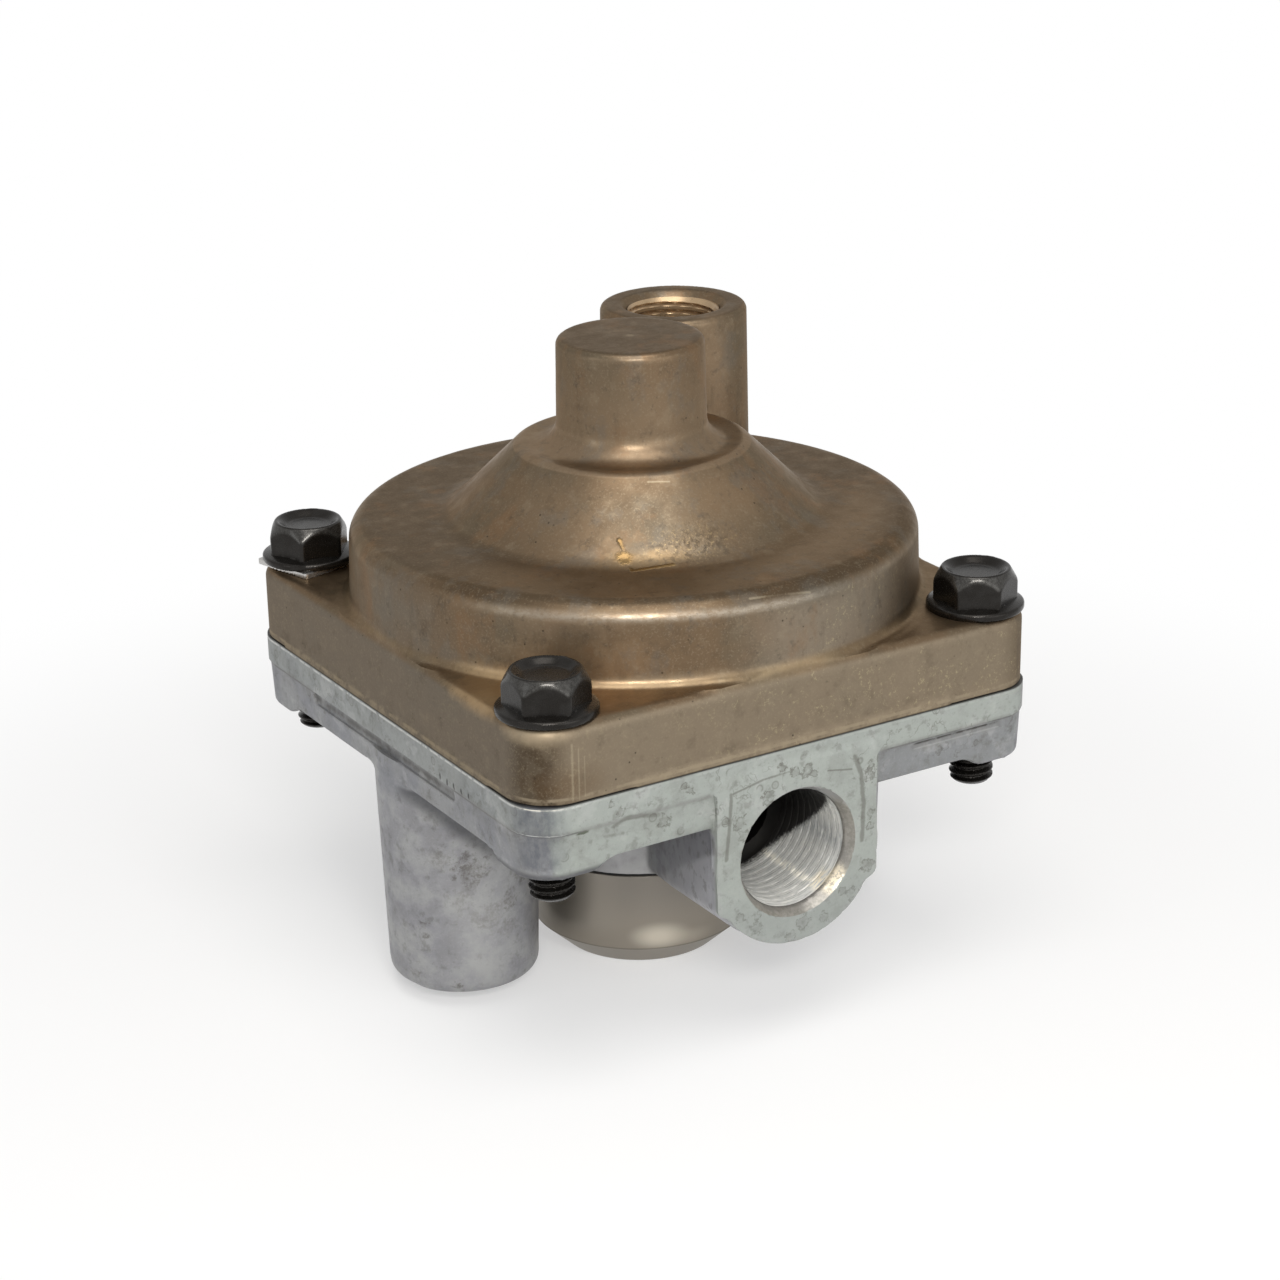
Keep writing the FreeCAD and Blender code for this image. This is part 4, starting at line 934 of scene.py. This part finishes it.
    rough = g.blend(g.ramp(mottle, 0.35, 0.65), 0.32, 0.42)
    upright = g.mul(g.ramp(g.up, 0.32, 0.08), g.ramp(g.z, 69.5, 71.0))
    rough = g.blend(upright, rough, 0.5)
    rough = g.blend(g.mul(side, 0.9), rough, 0.58)
    rough = g.blend(g.mul(edge, low), rough, 0.66)
    rough = g.blend(resin, rough, 0.22)
    normal = g.bump(g.noise(2.8, 3, 0.6, shift=7), 0.1, 0.00012)
    normal = g.bump(g.noise(0.8, 3, 0.6, shift=5), 0.22, 5e-05, normal)
    normal = g.bump(grain, 0.2, 3e-05, normal)
    normal = g.bump(g.most(g.mul(patch, fine), resin), 0.5, 0.0002, normal)
    g.shader.inputs["Specular Tint"].default_value = (0.72, 0.63, 0.54, 1.0)
    return g.finish(rough, 0.85, normal)


# Dried drops and runs on the port's face and the flange, pits in the flange's left side
face_drops = [
    (-3.1, 51.4, 0.9), (15.1, 48.1, 0.9), (14.8, 46.0, 1.2), (15.0, 38.8, 0.9), (15.2, 36.1, 0.8),
    (14.4, 29.0, 1.3), (11.1, 24.3, 1.2), (5.6, 21.3, 1.1), (9.1, 25.5, 0.8), (1.1, 21.4, 1.4),
    (-8.6, 23.1, 1.3), (-8.6, 25.3, 0.9), (-12.0, 26.1, 1.0), (-1.7, 19.6, 1.1), (-6.2, 46.7, 1.3),
    (-12.0, 43.6, 1.2), (-15.0, 44.7, 0.8), (-11.3, 41.0, 1.2), (-0.7, 50.2, 1.0), (1.7, 49.9, 1.2),
    (3.1, 49.0, 0.8), (-26.5, 47.4, 1.3), (-36.9, 53.2, 0.8), (-35.0, 51.6, 0.9), (-21.6, 52.0, 1.0),
    (-22.6, 52.9, 0.6), (30.0, 46.6, 0.9), (38.4, 46.0, 0.8),
]
face_runs = [
    [(-13.6, 49.2), (-14.0, 44.1), (-14.7, 37.5)],
    [(11.7, 50.2), (13.1, 46.5), (13.6, 40.7), (13.3, 34.1)],
    [(-13.6, 49.2), (-7.2, 50.4), (-1.8, 50.6)],
    [(6.1, 48.9), (11.0, 48.0)],
    [(-36.3, 48.9), (-33.8, 49.9), (-31.4, 49.6), (-27.5, 48.8)],
    [(-38.0, 47.5), (-34.5, 47.2)],
    [(24.6, 45.4), (33.0, 46.3), (34.9, 45.6)],
]
run_widths = [0.34, 0.44, 0.20, 0.16, 0.45, 0.40, 0.22]
flank_pits = [(-21.1, 50.6), (-23.6, 50.5), (-25.9, 50.4), (-28.5, 50.4), (-31.1, 50.5)]
slot_marks = [26.4, 30.4, 34.8, 37.9, 40.4]
tube_smudges = [
    ((-42.7, -13.1, 27.6), (2.4, 2.0, 2.6), 0.9), ((-35.8, -13.9, 20.2), (1.6, 1.5, 1.4), 0.8),
    ((-36.0, -13.9, 15.2), (1.3, 1.5, 1.6), 0.6), ((-39.4, -13.9, 18.0), (2.0, 1.5, 1.8), 0.5),
    ((-49.5, -7.6, 16.6), (0.6, 0.8, 0.7), 0.8), ((-49.3, -7.8, 14.3), (0.5, 0.8, 0.5), 0.8),
    ((-45.4, -11.7, 4.6), (0.9, 0.9, 0.5), 0.9), ((-50.6, -5.4, 6.1), (1.0, 1.6, 0.8), 0.5),
    ((-38.5, -14.0, 33.5), (3.2, 2.0, 1.6), 0.5), ((-44.6, -12.4, 22.0), (1.2, 1.2, 2.4), 0.4),
    ((-33.0, -13.2, 25.5), (1.2, 1.5, 2.6), 0.6), ((-47.6, -10.0, 30.0), (1.4, 1.6, 2.2), 0.4),
]


def front_at(x):
    """y of the front: the port's face in the middle, the flange's side beyond it."""
    return face_y if abs(x) < 16.5 else -half


def body_material():
    """Bare grey die casting with stains, pits and handling marks, and painted light and shade on the
    block, the boss, the tube, the slots, the edges and the supply port.
    """
    g = Graph("body_casting")
    edge = g.attribute("edge")
    hollow = g.attribute("hollow")
    broad = g.noise(12, 3, 0.6, shift=1)
    mottle = g.noise(2.4, 5, 0.62, shift=4)
    cloud = g.noise(5.5, 4, 0.6, shift=24)
    fine = g.noise(0.9, 4, 0.7, shift=13)
    grain = g.noise(0.4, 2, 0.6)
    grey = (0.255, 0.258, 0.262)
    green = (0.35, 0.377, 0.345)
    blue = (0.218, 0.222, 0.238)
    lilac = (0.285, 0.283, 0.3)
    light = (0.355, 0.355, 0.352)
    stain = (0.1, 0.094, 0.078)
    soot = (0.04, 0.038, 0.034)
    front = g.ramp(g.y, -50.4, -51.0)
    high = g.ramp(g.z, 42.5, 44.0)
    outer = g.mul(high, g.ramp(g.up, 0.6, 0.3))

    g.colour = g.mix(g.ramp(broad, 0.42, 0.6), grey, blue)
    g.paint(green, 0.85, front)
    g.paint((0.27, 0.29, 0.27), 1, g.ramp(g.z, 49.4, 49.9), g.ramp(g.y, -51.5, -51.0, 0.0, 0.5))
    lower_right = g.mul(g.ramp(g.x, 16.8, 17.4), g.ramp(g.z, 49.9, 49.4))
    g.paint((0.205, 0.208, 0.22), 0.8, lower_right, front)
    below = g.mul(g.ramp(g.z, 43, 38), g.ramp(g.y, -51, -49))
    g.paint(g.mix(g.ramp(cloud, 0.42, 0.58), light, lilac), 0.6, below)
    g.paint(stain, 0.16, g.ramp(cloud, 0.52, 0.66))
    g.paint((0.5, 0.5, 0.49), 1, g.ramp(cloud, 0.46, 0.34), g.ramp(g.z, 38, 44, 0.13, 0.25))
    g.paint(stain, 0.32, g.ramp(mottle, 0.55, 0.68))
    g.paint(stain, 0.22, g.ramp(fine, 0.56, 0.72))
    g.paint((0.45, 0.45, 0.44), 0.15, g.ramp(grain, 0.54, 0.7))

    # Dried water: outlines of small puddles, drops and runs
    gate = g.ramp(g.noise(7.0, 3, 0.6, shift=37), 0.5, 0.6)
    outline = g.line(g.noise(4.2, 3, 0.55, shift=51), 0.5, 0.016)
    g.paint(stain, 0.45, outline, gate, outer)
    scattered = g.cells(3.2, shift=23)
    drops = g.most(g.line(scattered, 0.24, 0.07), g.ramp(scattered, 0.12, 0.26, 0.4, 0.0))
    drops = g.mul(drops, g.ramp(g.noise(6.0, 2, 0.5, shift=61), 0.5, 0.58))
    drops = g.mul(drops, g.ramp(lower_right, 0.0, 1.0, 1.0, 0.3))
    g.paint(stain, 0.45, drops, outer)
    wobble = g.mul(g.add(g.noise(1.3, 4, 0.7, shift=71), -0.5), 3.4)
    port_face = g.ramp(g.y, -51.6, -52.3)
    marks = [g.ring((x, front_at(x), z), r, wobble) for x, z, r in face_drops]
    broken = g.ramp(g.noise(1.1, 3, 0.65, shift=83), 0.36, 0.56, 0.15, 1.0)
    g.paint(stain, 0.7, g.most(*marks), broken)
    runs = []
    for run, width in zip(face_runs, run_widths):
        places = [(x, front_at(run[0][0]), z) for x, z in run]
        for start, stop in zip(places, places[1:]):
            runs.append(g.stroke(start, stop, width, 0.5, g.mul(wobble, 0.45)))
    g.paint(stain, 0.55, g.most(*runs))
    low_face = g.mul(port_face, g.ramp(g.z, 31, 24), 0.3)
    g.paint((0.25, 0.265, 0.258), 1, low_face)
    chip = g.blob((-42.2, -52.0, 49.3), (1.0, 1.2, 0.35), 0.3, g.mul(wobble, 0.6))
    g.paint((0.055, 0.065, 0.035), 0.8, chip)
    dashes = [g.blob((-52.0, y, z), (0.8, 0.28, 0.65), 0.35, g.mul(wobble, 0.5)) for y, z in flank_pits]
    dashes += [g.blob((x, -51.7, 49.1), (0.7, 0.8, 0.22), 0.4, wobble) for x in slot_marks]
    g.paint((0.03, 0.028, 0.025), 0.85, g.most(*dashes))
    wide = g.mul(wobble, 1.6)
    smudges = [g.mul(g.blob(place, size, 0.55, wide), amount) for place, size, amount in tube_smudges]
    speckled = g.ramp(g.noise(0.8, 3, 0.7, shift=91), 0.4, 0.6, 0.35, 1.0)
    g.paint((0.085, 0.075, 0.064), 0.85, g.most(*smudges), speckled)

    # Darker in corners, a dark line along the parting, a painted highlight on the top edge, edges rubbed
    # paler with painted highlights
    # darker in the inner corners
    g.paint(stain, 0.5, hollow, g.ramp(mottle, 0.38, 0.6, 0.45, 1.0))
    parting = g.mul(g.line(g.z, 49.62, 0.3), g.ramp(cloud, 0.34, 0.5, 0.3, 1.0))
    beside = g.most(g.ramp(g.x, -40, -44), g.ramp(g.x, 17, 20), g.ramp(g.y, -51.8, -51.0))
    g.paint(soot, 0.65, parting, beside, outer)
    g.paint(soot, 0.9, g.ramp(g.z, 54.55, 54.8))
    # painted highlight along the top edge under the cover, strongest at the front corner
    rim = g.mul(g.line(g.z, 54.35, 0.35), g.ramp(mottle, 0.4, 0.52))
    rim = g.mul(rim, g.ramp(g.x, -38, -46, 0.15, 1.0))
    g.paint((0.66, 0.66, 0.63), 0.75, rim, outer)
    # paler convex edges: wear, with a painted highlight along them
    wear_and_gleam = g.mul(edge, g.ramp(mottle, 0.4, 0.58), g.ramp(g.z, 53.4, 54.2, 1.0, 0.1))
    g.paint((0.42, 0.42, 0.42), 0.28, wear_and_gleam)

    # Corner nearest the camera with painted highlights, and painted light and shade on the block, the
    # boss and the tube
    corner = g.mul(g.ramp(g.x, -43.5, -49.5), g.ramp(g.y, -43.5, -49.5), high)
    veil = g.ramp(g.noise(1.6, 4, 0.65, (1, 1, 0.5), shift=43), 0.35, 0.65, 0.45, 1.0)
    g.paint((0.105, 0.112, 0.13), 0.85, corner, veil)
    # painted highlights along the mould line and the top edge at the corner
    bright = g.mul(g.line(g.z, 49.75, 0.16), g.ramp(mottle, 0.36, 0.5, 0.3, 1.0))
    g.paint((0.62, 0.62, 0.6), 0.75, corner, bright)
    bright = g.mul(g.line(g.z, 54.45, 0.16), g.ramp(mottle, 0.36, 0.5, 0.3, 1.0))
    g.paint((0.92, 0.88, 0.76), 0.85, corner, bright)
    # painted light on the block's left side
    flank = g.mul(g.ramp(g.z, 42.5, 41.5), g.ramp(g.x, -12, -15, 0.6, 1.0))
    flank = g.mul(flank, g.between(g.y, -51.9, -51.0, -30, -18))
    g.paint((0.47, 0.47, 0.5), 0.7, flank)
    # painted shadow of the flange on the block's side
    shaded = g.mul(flank, g.ramp(g.add(g.z, g.mul(g.y, 0.606)), 6.9, 8.7))
    g.paint((0.12, 0.12, 0.135), 0.62, shaded)
    g.paint(stain, 0.4, flank, g.ramp(mottle, 0.52, 0.6))
    # painted light on the lower exhaust boss
    low_boss = g.mul(g.ramp(g.z, 31.0, 27.0), g.ramp(g.radius(), 21.5, 20.8))
    g.paint((0.46, 0.455, 0.45), 0.5, low_boss)
    # painted shadow of the flange and the pad on the tube's top
    wedge = g.mul(g.ramp(g.add(g.z, g.mul(g.x, 0.944)), -9.5, -6.0), g.ramp(g.x, -26, -30))
    wedge = g.mul(wedge, g.ramp(g.z, 43.0, 42.0), g.ramp(g.y, -2, -6))
    wedge = g.mul(wedge, g.ramp(g.z, 25.5, 32.0), g.ramp(mottle, 0.35, 0.65, 1.0, 0.75))
    g.paint((0.07, 0.07, 0.075), 0.8, wedge)
    # painted light down the middle of the tube's front
    barrel = g.blob((-40.5, -14, 16), (5.5, 5, 12), 0.8)
    g.paint((0.46, 0.46, 0.45), 0.28, barrel)
    # painted shade inside the slot in the left side
    slot = g.mul(g.line(g.z, 48.3, 1.1), g.ramp(g.x, -50.6, -50.9))
    slot = g.mul(slot, g.ramp(g.math("ABSOLUTE", g.add(g.y, -1.5)), 26.8, 26.2))
    g.paint((0.115, 0.113, 0.106), 1, slot, g.ramp(mottle, 0.35, 0.6, 0.5, 0.95))
    # painted shade along the front slot's upper edge, painted light along its lower edge
    groove = g.mul(g.ramp(g.y, -50.9, -51.2), g.between(g.x, 24.4, 25.2, 43.0, 43.6))
    broken = g.ramp(mottle, 0.4, 0.54, 0.2, 1.0)
    g.paint(soot, 0.85, groove, g.line(g.z, 49.1, 0.35), broken)
    g.paint((0.5, 0.52, 0.5), 0.22, groove, g.line(g.z, 48.15, 0.25))

    # Supply port: painted shade deep in the passage, painted light and a painted highlight on the mouth
    rise = g.add(g.z, -port_z)
    reach = g.add(g.mul(g.x, g.x), g.mul(rise, rise))
    # painted shade, near black, deep in the passage
    deep = g.mul(g.ramp(reach, 128, 121), g.between(g.y, -36, -33, -5, 0))
    g.paint((0.01, 0.009, 0.008), 1, deep)
    mouth = g.mul(g.ramp(reach, 142.8, 141.2), g.ramp(g.y, -49.5, -50.2))
    g.paint(g.mix(g.ramp(fine, 0.4, 0.6), (0.24, 0.225, 0.2), (0.32, 0.3, 0.27)), 0.85, mouth)
    # painted light on the mouth's upper part
    roof = g.mul(mouth, g.ramp(g.z, 41, 44))
    g.paint((0.36, 0.36, 0.36), 1, roof)
    # painted highlight low on the mouth's right
    gleam = g.blob((7.7, -51.6, 28.2), (2.3, 1.6, 2.4), 0.6, g.mul(wobble, 0.3))
    g.paint((0.97, 0.86, 0.66), 1, mouth, gleam, g.ramp(fine, 0.38, 0.52, 0.4, 1.0))

    rough = g.blend(g.ramp(mottle, 0.35, 0.65), 0.44, 0.6)
    rough = g.blend(g.mul(mouth, 0.9), rough, 0.3)
    normal = g.bump(g.noise(2.6, 3, 0.6, shift=7), 0.12, 0.00015)
    normal = g.bump(g.noise(0.9, 3, 0.6, shift=5), 0.3, 6e-05, normal)
    normal = g.bump(grain, 0.25, 4e-05, normal)
    return g.finish(rough, 0.6, normal)


def thread_material():
    """Cut thread of the supply port, with painted light: painted highlights where the light falls in,
    painted shade along the turns, and painted shade, black, deep on the left.
    """
    g = Graph("supply_thread")
    grain = g.noise(0.5, 3, 0.65)
    lines = g.noise(0.5, 2, 0.6, (0.25, 1, 0.25), shift=3)
    angle = g.math("ARCTAN2", g.add(g.z, -port_z), g.x)
    depth = g.add(g.y, -face_y)
    # Depth at which the shade starts: about 18 mm under the axis, 8 mm level with it, 0 above
    shade_start = g.ramp(angle, -1.05, 1.2, 18.5, 0.5)
    start = g.add(depth, g.mul(shade_start, -1.0))
    start = g.add(start, g.mul(g.add(grain, -0.5), 2.4))
    shade = g.ramp(start, -0.8, 1.2)
    left = g.math("ABSOLUTE", angle)
    shade = g.most(shade, g.mul(g.ramp(left, 2.1, 2.7), g.ramp(depth, 4.0, 9.0)))
    g.colour = g.mix(g.ramp(lines, 0.35, 0.65), (0.7, 0.705, 0.68), (0.88, 0.88, 0.84))
    turn = g.math("FRACT", g.add(g.mul(depth, 2 / half_inch_pitch), g.mul(angle, 1.0 / math.pi)))
    # painted shade along the thread's turns
    cut = g.mul(g.line(turn, 0.5, 0.2), g.ramp(g.noise(2.2, 3, 0.6, shift=19), 0.35, 0.6, 0.15, 1.0))
    g.paint((0.22, 0.21, 0.19), 0.55, cut)
    blue = g.mul(g.line(angle, -0.15, 0.35), g.ramp(lines, 0.4, 0.55))
    g.paint((0.2, 0.225, 0.25), 0.55, blue)
    # painted highlight: a bright line along the bore
    glow = g.mul(g.line(angle, -1.0, 0.13), g.ramp(lines, 0.38, 0.5))
    g.paint((1.0, 0.97, 0.86), 1, glow)
    # painted highlight near the mouth, low on the right
    bright = g.mul(g.line(angle, -0.88, 0.3), g.ramp(depth, 5.5, 3.5))
    g.paint((1.0, 0.9, 0.7), 1, bright, g.ramp(lines, 0.4, 0.52))
    # painted shade, near black
    g.paint((0.008, 0.007, 0.006), 1, shade)
    normal = g.bump(grain, 0.15, 5e-05)
    metal = g.blend(g.most(glow, shade), 0.22, 0.0)
    rough = g.blend(g.most(glow, bright), 0.45, 0.28)
    return g.finish(g.blend(shade, rough, 0.7), metal, normal)


def cup_material():
    """Satin cup with painted light: painted shade towards the top and under its edge, painted light low
    on the left, and one soft painted highlight low on the barrel.
    """
    g = Graph("exhaust_casting")
    grain = g.noise(0.3, 2, 0.6)
    # painted shade: darker towards the top
    g.colour = g.mix(g.ramp(g.z, 7.0, 17.5), (0.285, 0.255, 0.212), (0.225, 0.205, 0.178))
    # painted light low on the cup's left side
    g.paint((0.33, 0.3, 0.255), 1, g.ramp(g.x, -12, -20), g.ramp(g.z, 6, 10))
    # painted highlight low on the barrel
    shine = g.blob((-7.6, -18.8, 7.3), (4.0, 3.0, 1.9), 0.8)
    g.paint((0.72, 0.66, 0.55), 0.75, shine)
    # a fainter painted highlight beside it
    glow = g.blob((-3.0, -20.1, 6.3), (4.5, 3.0, 1.3), 0.8)
    g.paint((0.6, 0.54, 0.44), 0.3, glow)
    # painted shade along the edge and under it
    g.paint((0.09, 0.08, 0.065), 0.5, g.line(g.z, 4.75, 0.3))
    g.paint((0.09, 0.08, 0.065), 0.15, g.ramp(g.z, 4.7, 4.3))
    return g.finish(0.42, 0.8, g.bump(grain, 0.1, 4e-05))


def black_material():
    """Blackened screw steel, lighter on the crowns of the heads: rubbed wear with a painted highlight."""
    g = Graph("black_steel")
    grain = g.noise(0.5, 3, 0.65)
    broad = g.noise(3.5, 3, 0.6, shift=7)
    g.colour = g.mix(g.ramp(broad, 0.4, 0.62), (0.022, 0.02, 0.018), (0.016, 0.014, 0.012))
    # lighter crowns: rubbed wear and a painted highlight
    crown = g.between(g.up, 0.1, 0.35, 0.6, 0.8)
    crown = g.mul(crown, g.ramp(g.z, 71.5, 73.0))
    g.paint((0.062, 0.06, 0.056), 1, crown, g.ramp(grain, 0.35, 0.6, 0.5, 1.0))
    rough = g.blend(g.ramp(grain, 0.3, 0.7), 0.22, 0.3)
    normal = g.bump(g.noise(1.6, 3, 0.6, shift=3), 0.15, 8e-05)
    return g.finish(rough, 0.75, normal)


def plain_metal(name, colour, rough, metal, grain_size=0.6, depth=0.2, spread=0.12):
    g = Graph(name)
    grain = g.noise(grain_size, 2, 0.6)
    tone = g.ramp(g.noise(5.0, 2, 0.5, shift=2), 0.3, 0.7, 1.0 - spread, 1.0 + spread)
    g.colour = g.scaled(colour, tone)
    roughness = g.ramp(grain, 0.3, 0.7, rough - 0.05, rough + 0.05)
    return g.finish(roughness, metal, g.bump(grain, depth, 5e-05))


finishes = {
    "cover_casting": cover_material(),
    "body_casting": body_material(),
    "black_steel": black_material(),
    "exhaust_casting": cup_material(),
}
for name, colour, rough, metal in (
    ("bright_zinc", (0.55, 0.54, 0.52), 0.3, 0.9),
    ("black_rubber", (0.018, 0.018, 0.018), 0.7, 0.0),
    ("piston_aluminium", (0.5, 0.5, 0.5), 0.38, 0.9),
    ("spring_steel", (0.3, 0.3, 0.3), 0.3, 0.9),
    ("valve_brass", (0.5, 0.36, 0.15), 0.32, 0.9),
    ("guide_plastic", (0.05, 0.05, 0.055), 0.5, 0.0),
):
    finishes[name] = plain_metal(name, colour, rough, metal)
cut_thread = plain_metal("cut_thread", (0.52, 0.51, 0.48), 0.3, 0.9, 0.3, 0.1)
gold_thread = plain_metal("gold_thread", (0.40, 0.285, 0.17), 0.32, 0.75, 0.3, 0.1)


def dress(finish, *pieces):
    for piece in pieces:
        piece.data.materials.clear()
        piece.data.materials.append(finish)


for subpart in frame["record"]["subparts"]:
    for slot in nodes[subpart["node"]].material_slots:
        slot.material = finishes[subpart["material_slot"]]
dress(finishes["cover_casting"], cover)
dress(finishes["body_casting"], body)
dress(finishes["bright_zinc"], washer)
dress(finishes["black_steel"], *screws)
dress(finishes["spring_steel"], *springs)
dress(thread_material(), supply_thread)
dress(cut_thread, left_thread, right_thread)
dress(gold_thread, control_thread)


# Floor, background, lamps and camera
def floor_material():
    """Matt white that glows white for the camera far from the object."""
    g = Graph("floor")
    g.colour = (0.93, 0.93, 0.93)
    far = g.ramp(g.vector("LENGTH", g.mm), 85, 230, 0.45, 1.0)
    glow = g.node("Emission", {0: (1, 1, 1)})
    amount = g.mul(g.rays("Camera", "Glossy", "Transmission"), far)
    mix = g.node("MixShader", {0: amount, 1: g.shader.outputs[0], 2: glow.outputs[0]})
    g.put(g.out.inputs[0], mix.outputs[0])
    return g.finish(0.9, 0.0, None, 0.0)


floor_mesh = bpy.data.meshes.new("floor")
floor_reach = 3.0
floor_corners = [
    (x * floor_reach, y * floor_reach, -0.0003) for x, y in ((-1, -1), (1, -1), (1, 1), (-1, 1))
]
floor_mesh.from_pydata(floor_corners, [], [(0, 1, 2, 3)])
floor = bpy.data.objects.new("floor", floor_mesh)
bpy.context.scene.collection.objects.link(floor)
floor_mesh.materials.append(floor_material())

# White for the camera, brighter in mirrors than for the light that falls on the part
ambient_level = 0.368
mirror_level = 0.8
world = bpy.data.worlds.new("studio")
world.use_nodes = True
sky = Nodes(world.node_tree)
level = sky.ramp(sky.rays("Camera", "Glossy", "Transmission"), 0.0, 1.0, ambient_level, mirror_level)
level = sky.most(level, sky.rays("Camera"))
surface = sky.node("Background", {"Color": (1, 1, 1), "Strength": level})
sky.node("OutputWorld", {0: surface.outputs[0]})
bpy.context.scene.world = world
bpy.context.scene.view_settings.view_transform = "Standard"


def area_lamp(name, place, aim, width, height, power, tint=(1, 1, 1)):
    light = bpy.data.lights.new(name, "AREA")
    light.shape = "RECTANGLE"
    light.size = width
    light.size_y = height
    light.energy = power
    light.color = tint
    lamp = bpy.data.objects.new(name, light)
    lamp.location = place
    lamp.rotation_euler = (Vector(aim) - Vector(place)).to_track_quat("-Z", "Y").to_euler()
    bpy.context.scene.collection.objects.link(lamp)
    return lamp


aim = (0, 0, 0.06)
area_lamp("key", (-0.34, -0.68, 0.52), aim, 0.32, 0.11, 3.5, (1.0, 0.98, 0.95))
area_lamp("overhead", (-0.09, -0.24, 0.70), aim, 0.50, 0.40, 2.3, (1.0, 0.98, 0.95))
area_lamp("front", (0.20, -0.85, 0.26), aim, 0.70, 0.60, 1.7)
area_lamp("left", (-0.75, -0.05, 0.30), aim, 0.20, 0.40, 0.4, (0.92, 0.96, 1.0))

camera_data = bpy.data.cameras.new("camera")
camera_data.lens = 86.38
camera_data.sensor_width = 36.0
camera_data.shift_x = 0.000966
camera_data.shift_y = 0.02385
camera_data.clip_start = 0.01
camera = bpy.data.objects.new("camera", camera_data)
right = Vector((0.8504, -0.5259, -0.0163)).normalized()
back = Vector((-0.4841, -0.7942, 0.3673)).normalized()
up = back.cross(right).normalized()
right = up.cross(back).normalized()
turn = Matrix((right, up, back)).transposed().to_4x4()
camera.matrix_world = Matrix.Translation((-0.27113, -0.44577, 0.25748)) @ turn
bpy.context.scene.collection.objects.link(camera)
bpy.context.scene.camera = camera
